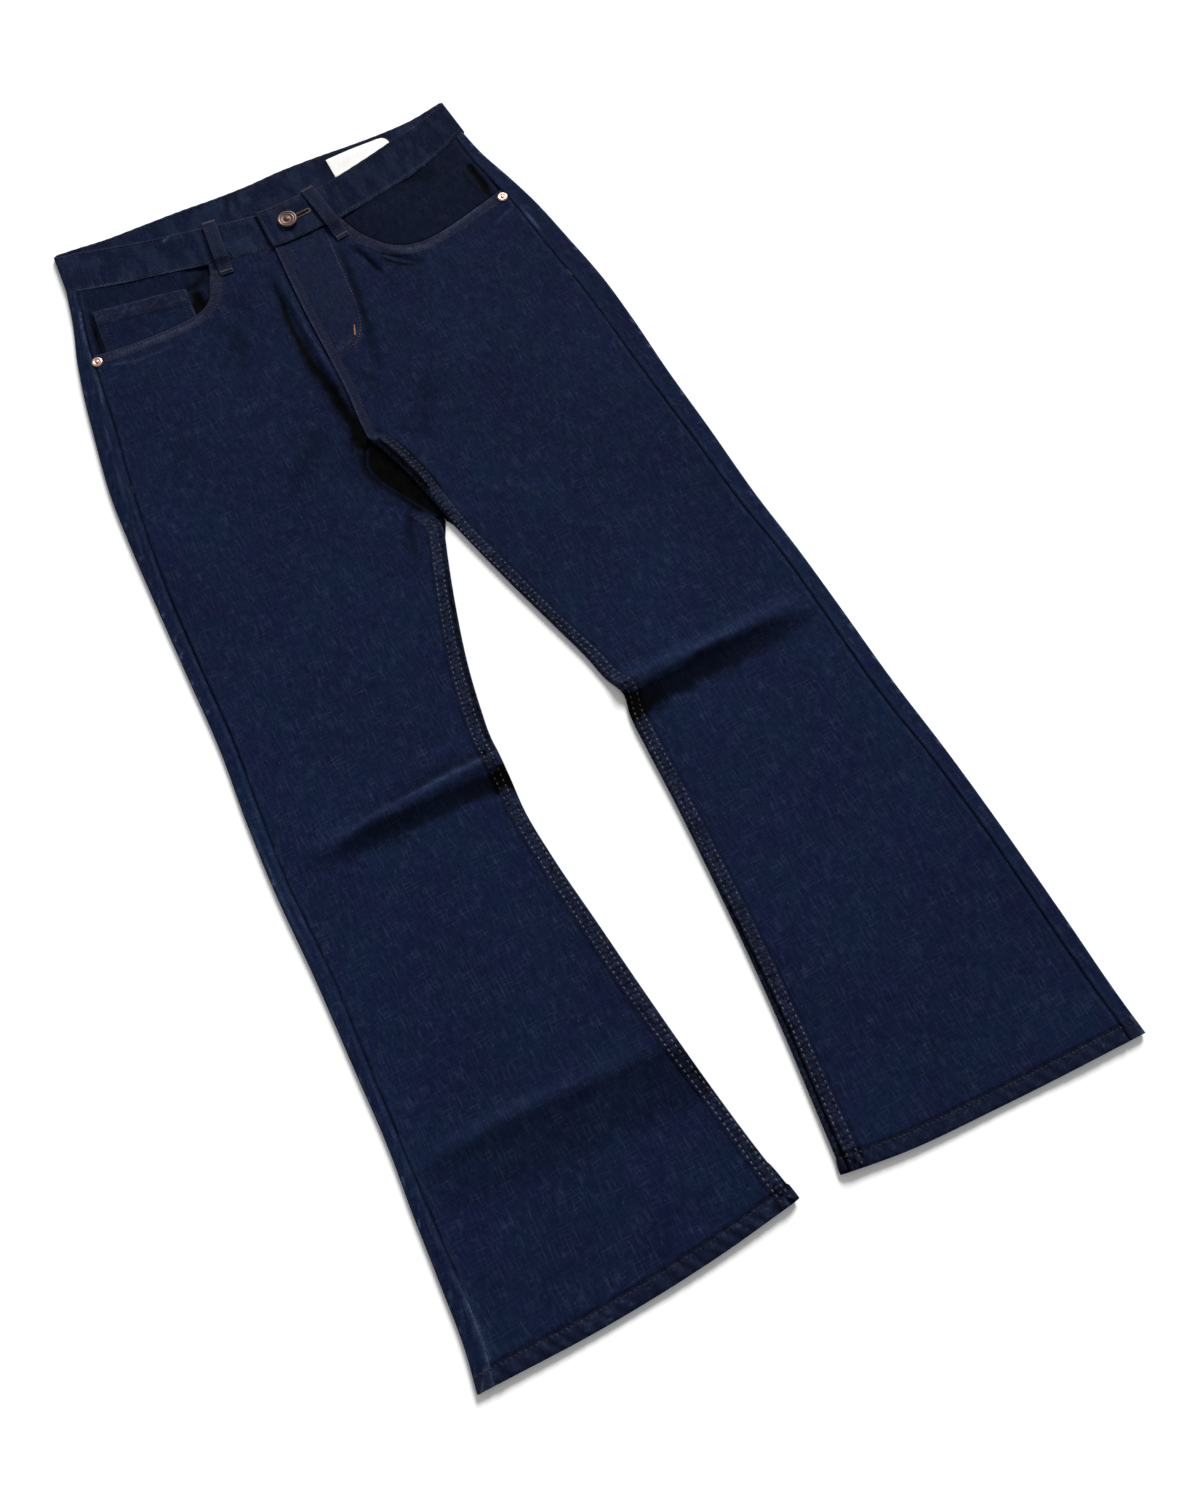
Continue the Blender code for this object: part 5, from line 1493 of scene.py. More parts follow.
class JEANS_OT_waist_label(bpy.types.Operator):
    """Lay the bare woven label inside the back of the waistband"""

    bl_idname = "jeans.waist_label"
    bl_label = "Waist label"

    def execute(self, context):
        across = np.linspace(0, 1, 50)
        up = np.linspace(0, 1, 22)
        width, height = LABEL_X[1] - LABEL_X[0], LABEL_Y[1] - LABEL_Y[0]
        corner = 9
        rows = []
        for share in up:
            y = LABEL_Y[0] + share * height
            beyond = np.maximum(0, abs(share - 0.5) * height - (height / 2 - corner))
            cut = corner - math.sqrt(corner**2 - beyond**2)
            x = LABEL_X[0] + across * (width - cut)
            rise = BAND_CLOTH + SEAM_GAP + LABEL_CLOTH + 0.35 * lumps(x, y, 15, 12, 141)
            rise += 0.5 * np.sin(math.pi * across) ** 2
            rise -= 0.4 * (bell(across * width, 1.2) + bell(min(share, 1 - share) * height, 0.8))
            rows.append(np.stack([x, np.full(len(x), y), rise], axis=1))
        points = np.array(rows)
        marks = {"worn": 0.0, "browned": 0.0, "shaded": 0.0}
        piece = cloth_wall("waist_label_cloth", points, 0.7, (10, 20, 1), marks)
        finish_cloth(piece, ribbon(), points, 62.5, 25)
        return {"FINISHED"}


# Metal


def turned(name, profile, radius, place, base, segments):
    """A round piece: a filled circle that is extruded and resized, ring by ring, up its profile."""
    deselect_all()
    x, y = place
    share, height = profile[0]
    middle = (x * MM, y * MM, base * MM)
    size = share * radius * MM
    bpy.ops.mesh.primitive_circle_add(vertices=segments, radius=size, fill_type="NGON", location=middle)
    piece = bpy.context.object
    piece.name = piece.data.name = name
    bpy.ops.object.mode_set(mode="EDIT")
    bpy.ops.mesh.select_all(action="SELECT")
    for next_share, next_height in profile[1:]:
        rise = (next_height - height) * MM
        bpy.ops.mesh.extrude_region_move(TRANSFORM_OT_translate={"value": (0, 0, rise)})
        grow = next_share / share
        middle = (x * MM, y * MM, (base + next_height) * MM)
        bpy.ops.transform.resize(value=(grow, grow, 1), center_override=middle)
        share, height = next_share, next_height
    bpy.ops.mesh.select_all(action="SELECT")
    bpy.ops.mesh.normals_make_consistent(inside=False)
    bpy.ops.object.mode_set(mode="OBJECT")
    bpy.ops.object.transform_apply(location=True, rotation=True, scale=True)
    bpy.ops.object.shade_smooth_by_angle(angle=math.radians(50))
    return piece


class JEANS_OT_button(bpy.types.Operator):
    """Set the shank button on the waistband: a rounded rim, a dished face and a centre dot"""

    bl_idname = "jeans.button"
    bl_label = "Button"

    def execute(self, context):
        base = band_face(BUTTON_PLACE[0]) + SEAM_GAP
        piece = turned("button_shell", BUTTON_PROFILE, BUTTON_RADIUS, BUTTON_PLACE, base, 64)
        brass = metal("antique metal", context.scene.jeans_colours.antique_brass, 0.42)
        fitted(piece, "button", brass)
        return {"FINISHED"}


class JEANS_OT_rivets(bpy.types.Operator):
    """Set a copper rivet at the outer end of each pocket mouth"""

    bl_idname = "jeans.rivets"
    bl_label = "Rivets"

    def execute(self, context):
        for side, place in RIVET_PLACES.items():
            base = fold_height(place[1]) + SEAM_GAP
            piece = turned(f"rivet_{side}_shell", RIVET_PROFILE, RIVET_RADIUS, place, base, 40)
            copper = metal("copper", context.scene.jeans_colours.copper, 0.3)
            fitted(piece, f"rivet_{side}", copper)
        return {"FINISHED"}


# Sewing

STITCH_SHARE = 0.66
UP = np.array([0.0, 0.0, 1.0])


def stitch_form():
    """Corners, faces and UV map of one stitch along X from -1 to 1, one unit in radius."""
    deselect_all()
    turn = (0, math.pi / 2, 0)
    bpy.ops.mesh.primitive_uv_sphere_add(segments=6, ring_count=4, radius=1, rotation=turn)
    form = bpy.context.object
    bpy.ops.object.transform_apply(location=False, rotation=True, scale=False)
    corners = np.array([v.co for v in form.data.vertices])
    faces = [tuple(face.vertices) for face in form.data.polygons]
    bpy.data.objects.remove(form)
    round_part = np.abs(corners[:, 0]) < 0.99
    corners[round_part, 0] = np.sign(np.round(corners[round_part, 0], 3)) * 0.62
    side_length = np.linalg.norm(corners[:, 1:], axis=1)
    corners[round_part, 1:] /= side_length[round_part, None]
    return corners, faces


def stitches_along(line, pitch, seed, measure=None):
    """Starts, middles and ends of running stitches along a line of 3-D points.

    The pitch is counted along the line, or by a rising measure of its points, and then in whole pitches
    from zero, so that rows beside each other keep step.
    """
    line = np.asarray(line, float)
    rng = np.random.default_rng(seed)
    if measure is None:
        run = lengths(line)
        count = int(run[-1] / pitch)
        places = (np.arange(count) + 0.5) * run[-1] / count
    else:
        run = measure
        count = int(run[-1] / pitch) - int(run[0] / pitch) - 1
        places = (int(run[0] / pitch) + np.arange(count) + 0.5) * pitch
    places += rng.normal(0, 0.03 * pitch, count)
    half = 0.5 * STITCH_SHARE * pitch * rng.normal(1, 0.05, count)
    return np.stack([points_at(line, run, places + shift * half) for shift in (-1, 0, 1)], axis=1)


def tack_along(line, width, pitch, seed):
    """Starts, middles and ends of close stitches across a line of 3-D points."""
    line = np.asarray(line, float)
    run = lengths(line)
    count = max(2, int(run[-1] / pitch))
    rng = np.random.default_rng(seed)
    places = np.linspace(0, run[-1], count)
    middle = points_at(line, run, places)
    ahead = points_at(line, run, places + 0.5 * pitch) - points_at(line, run, places - 0.5 * pitch)
    across = np.cross(UP, ahead)
    across /= np.linalg.norm(across, axis=1, keepdims=True)
    half = 0.5 * width * rng.normal(1, 0.07, count)[:, None] * across
    slant = 0.3 * ahead
    return np.stack([middle - half - slant, middle, middle + half + slant], axis=1)


def sewn(name, runs, thread, material, lift=0.1):
    """One mesh of all stitches in the runs; each run is starts, middles and ends."""
    corners, faces = stitch_form()
    ends = np.concatenate(runs)
    count, size = len(ends), len(corners)
    along = ends[:, 2] - ends[:, 0]
    length = np.linalg.norm(along, axis=1, keepdims=True)
    across = np.cross(UP, along / length)
    across /= np.linalg.norm(across, axis=1, keepdims=True)
    t = corners[None, :, :1]
    start, middle, end = (ends[:, None, place] for place in range(3))
    spine = 0.5 * t * (t - 1) * start + (1 - t**2) * middle + 0.5 * t * (t + 1) * end
    radius = 0.5 * thread
    height = radius * (0.85 * corners[None, :, 2:] + 2 * lift - 0.9 * t**4)
    places = spine + radius * corners[None, :, 1:2] * across[:, None] + height * UP
    mesh = bpy.data.meshes.new(name)
    faces = [tuple(np.array(face) + size * i) for i in range(count) for face in faces]
    places = places.reshape(-1, 3) * MM
    mesh.from_pydata(places.tolist(), [], [tuple(int(c) for c in face) for face in faces])
    x, y = ends[:, 1, 0], ends[:, 1, 1]
    # tone varies at random; it is dimmed as painted shade across the crotch and the knee band, and dimmed
    # near the hem
    tones = 0.58 + 0.4 * lumps(x, y, 12, 24, 151) + np.random.default_rng(7).normal(0, 0.2, count)
    unshaded_share = 1 - 0.7 * rising(y, 90, 30) * falling(y, CROTCH_Y + 30, 20)
    unshaded_share *= (1 - 0.6 * falling(y, -486, 10)) * (1 - bell(y + 117, 8))
    set_mark(mesh, "tone", np.repeat(np.clip(tones, 0, 1) * unshaded_share, size))
    loops = np.zeros(len(mesh.loops), np.int32)
    mesh.loops.foreach_get("vertex_index", loops)
    turn = np.arctan2(corners[:, 1], corners[:, 2]) / math.tau
    plies = np.stack(np.broadcast_arrays(0.5 * length * corners[:, 0] * MM, turn), axis=2)
    layer = mesh.uv_layers.new(name="ply")
    layer.data.foreach_set("uv", plies.reshape(-1, 2)[loops].astype(np.float32).ravel())
    mesh.update()
    piece = bpy.data.objects.new(name, mesh)
    bpy.context.scene.collection.objects.link(piece)
    deselect_all()
    piece.select_set(True)
    bpy.context.view_layer.objects.active = piece
    bpy.ops.object.shade_smooth()
    mesh.materials.append(material)
    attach(piece, "root")
    return piece


def on_front(side, x, y):
    """A line on a front panel's face, as 3-D points."""
    x, y = np.broadcast_arrays(np.asarray(x, float), np.asarray(y, float))
    return np.stack([x, y, front_face(side, x, y)], axis=1)


class JEANS_OT_leg_stitching(bpy.types.Operator):
    """Sew the two rows along each inseam and the row along each hem"""

    bl_idname = "jeans.leg_stitching"
    bl_label = "Leg stitching"

    def execute(self, context):
        threads, colours = in_mm("jeans_threads"), context.scene.jeans_colours
        seams, hems = [], []
        for side, sign in SIDES.items():
            top = CROTCH_Y - (93 if side == "right" else 2)
            y = np.linspace(-505, top, 900)
            for number, row in enumerate(seam_rows(side, y)):
                x = front_edge(side, y) + sign * row
                line = on_front(side, x, y + hem_sway(side, x, y))
                seed = 200 + number + (10 if sign > 0 else 0)
                seams.append(stitches_along(line, threads.long_pitch, seed, line[:, 1]))
            x = np.linspace(sign * front_edge(side, -495) + 1, outer_fold(side, -500) - 1.5, 300)
            y = hem_line(side, x) + HEM_DEPTH - 2
            line = hem_height(side, sign * x, y)
            hems.append(stitches_along(line, threads.hem_pitch, 220 + (1 if sign > 0 else 0)))
        pale = thread_of("pale thread", colours.pale_thread)
        sewn("inseam_stitching", seams, threads.seam_thread, pale, 0.0)
        sewn("hem_stitching", hems, threads.thread, thread_of("tan thread", colours.tan_thread))
        return {"FINISHED"}


def hem_height(side, x, y):
    """A line of 3-D points across a leg near the hem: on the front, then on the back's turned strip."""
    front = on_front(side, x, y)
    points, _ = back_dressed(side, np.stack([x, y, fold_height(y) * np.ones(len(x))], axis=1)[None])
    strip = np.abs(x) > outseam(side, y)
    beyond = np.clip(np.abs(x) - (outer_fold(side, y) - fold_height(y) / 2), 0, None)
    radius = fold_height(y) / 2
    points[0, :, 2] -= radius - np.sqrt(np.clip(radius**2 - beyond**2, 0, None))
    return np.where(strip[:, None], points[0], front)


def on_band(x, up, layer):
    """A line along the waistband; layer is 0 on the face of its front half and 1 inside its back half."""
    x = np.asarray(x, float)
    if layer:
        plan_x, plan_y = band_point(x, up, np.zeros(len(x)))
        return np.stack([plan_x, plan_y, np.full(len(x), BAND_CLOTH)], axis=1)
    z = band_face(x) if x.max() > UNDERLAP_END_X else np.full(len(x), BAND_TOP)
    plan_x, plan_y = band_point(x, up, z)
    return np.stack([plan_x, plan_y, z], axis=1)


class JEANS_OT_band_stitching(bpy.types.Operator):
    """Sew the rows along the edges of the waistband, inside and out"""

    bl_idname = "jeans.band_stitching"
    bl_label = "Waistband stitching"

    def execute(self, context):
        threads, colours = in_mm("jeans_threads"), context.scene.jeans_colours
        runs = []
        for number, up in enumerate(BAND_ROWS):
            top_layer = on_band(np.linspace(BAND_END_X + 2.5, 197, 400), up, 0)
            low_layer = on_band(np.linspace(-197, BAND_END_X - 1, 400), up, 0)
            inside = on_band(np.linspace(-195, 195, 500), up, 1)
            for layer, line in enumerate((top_layer, low_layer, inside)):
                runs.append(stitches_along(line, threads.short_pitch, 240 + 10 * number + layer))
        end = np.linspace(*BAND_ROWS, 30)
        x = np.full(30, BAND_END_X + 2.6)
        line = np.stack([*band_point(x, end, band_face(x)), band_face(x)], axis=1)
        runs.append(stitches_along(line, threads.short_pitch, 260))
        sewn("band_stitching", runs, threads.thread, thread_of("brown thread", colours.brown_thread))
        return {"FINISHED"}


class JEANS_OT_front_stitching(bpy.types.Operator):
    """Sew the fly, the rise seam, the pocket mouths, the coin pocket and the belt loops"""

    bl_idname = "jeans.front_stitching"
    bl_label = "Front stitching"

    def execute(self, context):
        threads, colours = in_mm("jeans_threads"), context.scene.jeans_colours
        line = fly_line(FLY_INSET)
        line = line[line[:, 0] > front_edge("left", line[:, 1]) + 1]
        line = line[line[:, 1] < band_low(line[:, 0]) - 1.5]
        curve = [stitches_along(on_front("left", line[:, 0], line[:, 1]), threads.short_pitch, 270)]
        sewn("fly_stitching", curve, threads.thread, thread_of("fly thread", colours.fly_thread))

        runs = []
        for number, row in enumerate(RISE_ROWS):
            y = np.linspace(CROTCH_Y + 3, 431, 260)
            line = on_front("left", front_edge("left", y) + row, y)
            runs.append(stitches_along(line, threads.short_pitch, 272 + number))
        for side, sign in SIDES.items():
            mouth = mouth_line(side)
            for number, row in enumerate(MOUTH_ROWS):
                line = mouth + row * sign * to_the_right(mouth)
                line = line[line[:, 1] < band_low(line[:, 0]) - 1.5]
                line = line[np.abs(line[:, 0]) < outseam(side, line[:, 1]) - 1.5]
                line = on_front(side, line[:, 0], line[:, 1])
                runs.append(stitches_along(line, threads.short_pitch, 280 + number + (5 if sign > 0 else 0)))
        for number, line in enumerate(coin_lines()):
            runs.append(stitches_along(line, threads.short_pitch, 290 + number))
        for number, line in enumerate(loop_lines()):
            runs.append(stitches_along(line, threads.short_pitch, 300 + number))
        sewn("front_stitching", runs, threads.thread, thread_of("brown thread", colours.brown_thread))
        return {"FINISHED"}


def coin_lines():
    """The rows of stitches on the coin pocket: two across its hem and two down each side."""
    plan = coin_plan(48, 120)
    top, outer, inner = plan[-1], plan[:, 0], plan[:, -1]
    lines = []
    for drop in (2.2, COIN_HEM - 2):
        line = top - np.array((0, drop))
        line = line[(line[:, 0] > outer[-1, 0] + 2) & (line[:, 0] < inner[-1, 0] - 2)]
        lines.append(coin_line(line))
    for edge, sign in ((outer, 1), (inner, -1)):
        for inset in (2.0, 7.0):
            line = edge + np.array((sign * inset, 0))
            line = line[mouth_depth("right", line[:, 0], line[:, 1]) > 1]
            line = line[line[:, 1] < band_low(line[:, 0]) - 3]
            lines.append(coin_line(line))
    return lines


def coin_line(line):
    x, y = line[:, 0], line[:, 1]
    _, inner, outer, _ = COIN_CORNERS
    top_y = np.interp(x, [outer.x, inner.x], [outer.y, inner.y])
    from_side = np.minimum(np.abs(x - outer.x), np.abs(x - inner.x))
    return np.stack([x, y, coin_face(x, y, top_y - y, from_side)], axis=1)


def loop_lines():
    """The two lengthwise rows on each belt loop."""
    rows = [(line, across) for line in LOOPS for across in (-0.27, 0.27)]
    shares = np.linspace(0.07, 0.93, 60)
    return [np.array([loop_point(line, share, across) for share in shares]) for line, across in rows]


# Bar tacks on the fly and the outseams: both ends on the front's face
TACKS = table("side x1 y1 x2 y2 width", ("left", 11.4, 311.2, 15.2, 321, 1.4))
OUTSEAM_TACKS = {"right": 258, "left": 282}
BUTTONHOLE_SIDE = 2.0


class JEANS_OT_tacks(bpy.types.Operator):
    """Sew the bar tacks, the ends of the belt loops and the buttonhole"""

    bl_idname = "jeans.tacks"
    bl_label = "Bar tacks and buttonhole"

    def execute(self, context):
        threads, colours = in_mm("jeans_threads"), context.scene.jeans_colours
        pitch = 0.62 * threads.thread
        orange, brown, dull = [], [], []
        for number, tack in enumerate(TACKS):
            x, y = np.linspace(tack.x1, tack.x2, 12), np.linspace(tack.y1, tack.y2, 12)
            orange.append(tack_along(on_front(tack.side, x, y), tack.width, pitch, 310 + number))
        for number, line in enumerate(LOOPS):
            for share in (0.045, 0.955):
                ends = np.array([loop_point(line, share, across) for across in np.linspace(-0.44, 0.44, 12)])
                brown.append(tack_along(ends, 2.6, pitch, 320 + 2 * number + (share > 0.5)))
        hole = [tack_along(hole_edge(), 2.6, 0.9 * pitch, 330)]
        for number, (side, y) in enumerate(OUTSEAM_TACKS.items()):
            y += np.linspace(-3.5, 3.5, 8)
            line = on_front(side, SIDES[side] * (outseam(side, y) - 0.4), y)
            dull.append(tack_along(line, 2.2, 1.4 * pitch, 340 + number))
        thread = 0.8 * threads.thread
        sewn("outseam_tacks", dull, thread, thread_of("fly thread", colours.fly_thread), 0.0)
        sewn("bar_tacks", orange, thread, thread_of("orange thread", colours.orange_thread), 0.25)
        sewn("buttonhole", hole, thread, thread_of("hole thread", colours.hole_thread), 0.25)
        sewn("loop_tacks", brown, thread, thread_of("loop thread", colours.loop_thread), 0.25)
        return {"FINISHED"}


def hole_edge():
    """The middle of the stitched edge round the buttonhole."""
    (x1, y1), (x2, y2) = HOLE_SLIT[0], HOLE_SLIT[-1]
    angle = math.atan2(y2 - y1, x2 - x1)
    arc = angle + np.linspace(-math.pi / 2, math.pi / 2, 14)
    sideways = BUTTONHOLE_SIDE * np.array((-math.sin(angle), math.cos(angle)))
    end = np.stack([x2 + BUTTONHOLE_SIDE * np.cos(arc), y2 + BUTTONHOLE_SIDE * np.sin(arc)], axis=1)
    line = np.concatenate([[(x1, y1) - sideways], end, [(x1, y1) + sideways]])
    run = lengths(line)
    x, y = points_at(line, run, np.linspace(0, run[-1], 80)).T
    return np.stack([x, y, band_face(x)], axis=1)


# Materials


class Nodes:
    """Short ways to place and join nodes in a tree."""

    def __init__(self, tree):
        self.tree = tree
        tree.nodes.clear()

    def add(self, kind, *inputs, **settings):
        """A node with its settings and its inputs in order: a value, a socket, or None to leave one alone."""
        node = self.tree.nodes.new("ShaderNode" + kind)
        for name, value in settings.items():
            setattr(node, name, value)
        for socket, value in zip(node.inputs, inputs):
            self.set(socket, value)
        return node

    def set(self, socket, value):
        if isinstance(value, bpy.types.NodeSocket):
            self.tree.links.new(value, socket)
        elif value is not None:
            socket.default_value = value

    def sum(self, operation, first, second=None, third=None, clamp=False):
        return self.add("Math", first, second, third, operation=operation, use_clamp=clamp).outputs[0]

    def mix(self, share, first, second, blend="MIX"):
        node = self.add("Mix", data_type="RGBA", blend_type=blend)
        self.set(node.inputs["Factor"], share)
        self.set(node.inputs[6], first)
        self.set(node.inputs[7], second)
        return node.outputs[2]

    def scaled(self, vector, x, y, z=1.0, turn=0.0):
        node = self.add("Mapping", vector, (0, 0, 0), (0, 0, turn), (x, y, z))
        return node.outputs[0]

    def noise(self, vector, detail=2.0, rough=0.5):
        node = self.add("TexNoise", vector)
        node.inputs["Scale"].default_value = 1.0
        node.inputs["Detail"].default_value = detail
        node.inputs["Roughness"].default_value = rough
        return node.outputs[0]

    def range(self, value, low, high, to_low=0.0, to_high=1.0):
        node = self.add("MapRange", value, low, high, to_low, to_high)
        return node.outputs[0]


def effect(name, inputs):
    """A node group that gives colour, roughness and height: itself, its node helper and its sockets."""
    group = bpy.data.node_groups.new(name, "ShaderNodeTree")
    for title, value in inputs.items():
        kind = "Float" if isinstance(value, float) else "Color"
        socket = group.interface.new_socket(title, in_out="INPUT", socket_type="NodeSocket" + kind)
        socket.default_value = value
    for title, kind in (("Color", "Color"), ("Roughness", "Float"), ("Height", "Float")):
        group.interface.new_socket(title, in_out="OUTPUT", socket_type="NodeSocket" + kind)
    nodes = Nodes(group)
    given = group.nodes.new("NodeGroupInput")
    made = group.nodes.new("NodeGroupOutput")
    return group, nodes, given.outputs, made.inputs


def cloth_weave():
    """Twill weave with uneven yarns, two dye tones, wear and painted highlights, stitching tint and painted
    deep shade.
    """
    if "cloth weave" in bpy.data.node_groups:
        return bpy.data.node_groups["cloth weave"]
    black = (0, 0, 0, 1)
    inputs = dict.fromkeys(("Dye", "Second dye", "Slub", "Worn colour", "Tint colour"), black)
    inputs |= dict.fromkeys(("Worn", "Tinted", "Shaded", "Rungs", "Rung phase"), 0.0)
    inputs["Unevenness"] = 0.62
    group, nodes, given, made = effect("cloth weave", inputs)
    grain = nodes.add("UVMap", uv_map="grain").outputs[0]

    tone = nodes.range(nodes.noise(nodes.scaled(grain, 24, 18), 3.0, 0.6), 0.38, 0.62)
    cloud = nodes.range(nodes.noise(nodes.scaled(grain, 11, 8), 2.0), 0.3, 0.7, 0.86, 1.16)
    mottle = nodes.range(nodes.noise(nodes.scaled(grain, 210, 120), 3.0, 0.62), 0.3, 0.7, 0.70, 1.32)
    streak = nodes.noise(nodes.scaled(grain, 560, 95), 2.0, 0.6)
    streaks = nodes.range(streak, 0.34, 0.68, 0.74, 1.32)
    dashes = nodes.range(nodes.noise(nodes.scaled(grain, 130, 760), 1.0), 0.4, 0.72, 0.9, 1.26)
    fleck = nodes.noise(nodes.scaled(grain, 640, 330), 1.0)
    patches = nodes.range(nodes.noise(nodes.scaled(grain, 70, 50), 2.0), 0.36, 0.66, 0.25, 1.0)
    warp_slubs = nodes.range(nodes.noise(nodes.scaled(grain, 620, 75), 2.0), 0.50, 0.74, 0.0, 0.6)
    weft_slubs = nodes.range(nodes.noise(nodes.scaled(grain, 90, 620), 2.0), 0.53, 0.74, 0.0, 0.5)
    flecks = nodes.sum("MULTIPLY", nodes.sum("ADD", warp_slubs, weft_slubs), patches)
    flecks = nodes.sum("ADD", flecks, nodes.range(fleck, 0.68, 0.76, 0.0, 0.7), clamp=True)

    colour = nodes.mix(tone, given["Dye"], given["Second dye"])
    level = nodes.sum("MULTIPLY", cloud, streaks)
    level = nodes.sum("MULTIPLY", level, nodes.sum("MULTIPLY", dashes, mottle))
    level = nodes.sum("MULTIPLY_ADD", nodes.sum("SUBTRACT", level, 1.0), given["Unevenness"], 1.0)
    level_colour = nodes.add("CombineColor", level, level, level).outputs[0]
    colour = nodes.mix(1.0, colour, level_colour, "MULTIPLY")
    colour = nodes.mix(flecks, colour, given["Slub"])
    tinted = nodes.sum("MULTIPLY", given["Tinted"], nodes.range(streak, 0.3, 0.7, 0.55, 1.0))
    colour = nodes.mix(tinted, colour, given["Tint colour"])
    # rubbed wear and painted highlights, broken up by grit
    grit = nodes.range(nodes.noise(nodes.scaled(grain, 700, 700), 2.0, 0.7), 0.38, 0.62, 0.35, 1.5)
    worn = nodes.sum("MULTIPLY", given["Worn"], grit, clamp=True)
    colour = nodes.mix(worn, colour, given["Worn colour"])
    # ladder along a seam: pale specks, a tint between the gaps, and painted shade in the gaps between
    # stitches
    wobble = nodes.range(nodes.noise(nodes.scaled(grain, 260, 120), 1.0), 0.3, 0.7, -0.24, 0.24)
    turn = nodes.sum("MULTIPLY", nodes.sum("ADD", given["Rung phase"], wobble), math.tau)
    speck = nodes.range(nodes.noise(nodes.scaled(grain, 620, 520), 1.0), 0.52, 0.68, 0.0, 0.6)
    colour = nodes.mix(nodes.sum("MULTIPLY", speck, given["Rungs"], clamp=True), colour, given["Worn colour"])
    painted_gap_shade = nodes.range(nodes.sum("COSINE", turn), -0.1, 0.8)
    rung = nodes.range(nodes.sum("COSINE", turn), -0.9, 0.0, 0.5, 0.0)
    colour = nodes.mix(nodes.sum("MULTIPLY", rung, given["Rungs"]), colour, given["Tint colour"])
    painted_gap_shade = nodes.sum("MULTIPLY", nodes.sum("MULTIPLY", painted_gap_shade, given["Rungs"]), 0.6, clamp=True)
    colour = nodes.mix(painted_gap_shade, colour, black)
    # painted shade: the shaded mark darkens the colour towards black
    dark = nodes.sum("MULTIPLY", given["Shaded"], 0.82, clamp=True)
    colour = nodes.mix(dark, colour, black)
    nodes.set(made["Color"], colour)
    rough = nodes.range(nodes.noise(nodes.scaled(grain, 160, 90), 2.0), 0.3, 0.7, 0.8, 0.94)
    nodes.set(made["Roughness"], rough)

    bands = {"wave_type": "BANDS", "bands_direction": "DIAGONAL"}
    twill = nodes.add("TexWave", nodes.scaled(grain, 1, 1), 950.0, 0.6, 1.0, 2.0, 0.5, **bands)
    height = nodes.sum("MULTIPLY", twill.outputs[1], 0.35)
    height = nodes.sum("ADD", height, nodes.sum("MULTIPLY", streak, 0.9))
    height = nodes.sum("ADD", height, nodes.sum("MULTIPLY", fleck, 0.45))
    nodes.set(made["Height"], height)
    return group


def thread_twist():
    """Sewing thread: slanted plies, and a tone of its own for each stitch."""
    if "thread twist" in bpy.data.node_groups:
        return bpy.data.node_groups["thread twist"]
    group, nodes, given, made = effect("thread twist", {"Thread": (0, 0, 0, 1)})
    ply = nodes.add("UVMap", uv_map="ply").outputs[0]
    apart = nodes.add("SeparateXYZ", ply)
    slant = nodes.sum("ADD", nodes.sum("MULTIPLY", apart.outputs[0], 1150.0), apart.outputs[1])
    plies = nodes.sum("MULTIPLY_ADD", nodes.sum("SINE", nodes.sum("MULTIPLY", slant, math.tau)), 0.5, 0.5)
    tone = nodes.add("Attribute", attribute_name="tone").outputs["Fac"]
    level = nodes.sum("MULTIPLY", nodes.range(tone, 0, 1, 0.12, 1.5), nodes.range(plies, 0, 1, 0.75, 1.15))
    level_colour = nodes.add("CombineColor", level, level, level).outputs[0]
    nodes.set(made["Color"], nodes.mix(1.0, given["Thread"], level_colour, "MULTIPLY"))
    nodes.set(made["Roughness"], nodes.range(plies, 0, 1, 0.72, 0.55))
    nodes.set(made["Height"], plies)
    return group


def rubbed_metal():
    """Metal with darker tarnish in patches, fine scratches and dents."""
    if "rubbed metal" in bpy.data.node_groups:
        return bpy.data.node_groups["rubbed metal"]
    inputs = {"Metal": (0, 0, 0, 1), "Tarnish": 0.5, "Gloss": 0.4}
    group, nodes, given, made = effect("rubbed metal", inputs)
    place = nodes.add("TexCoord").outputs["Object"]
    patch = nodes.range(nodes.noise(nodes.scaled(place, 420, 420, 420), 3.0, 0.65), 0.4, 0.64)
    fine = nodes.noise(nodes.scaled(place, 2600, 900, 2000), 2.0, 0.6)
    tarnish = nodes.sum("MULTIPLY", patch, given["Tarnish"])
    dull = nodes.mix(0.72, given["Metal"], (0.012, 0.009, 0.007, 1))
    nodes.set(made["Color"], nodes.mix(tarnish, given["Metal"], dull))
    rough = nodes.sum("ADD", given["Gloss"], nodes.sum("MULTIPLY", tarnish, 0.25))
    nodes.set(made["Roughness"], nodes.sum("ADD", rough, nodes.range(fine, 0.3, 0.7, -0.06, 0.08)))
    nodes.set(made["Height"], nodes.sum("ADD", nodes.sum("MULTIPLY", patch, 0.6), fine))
    return group


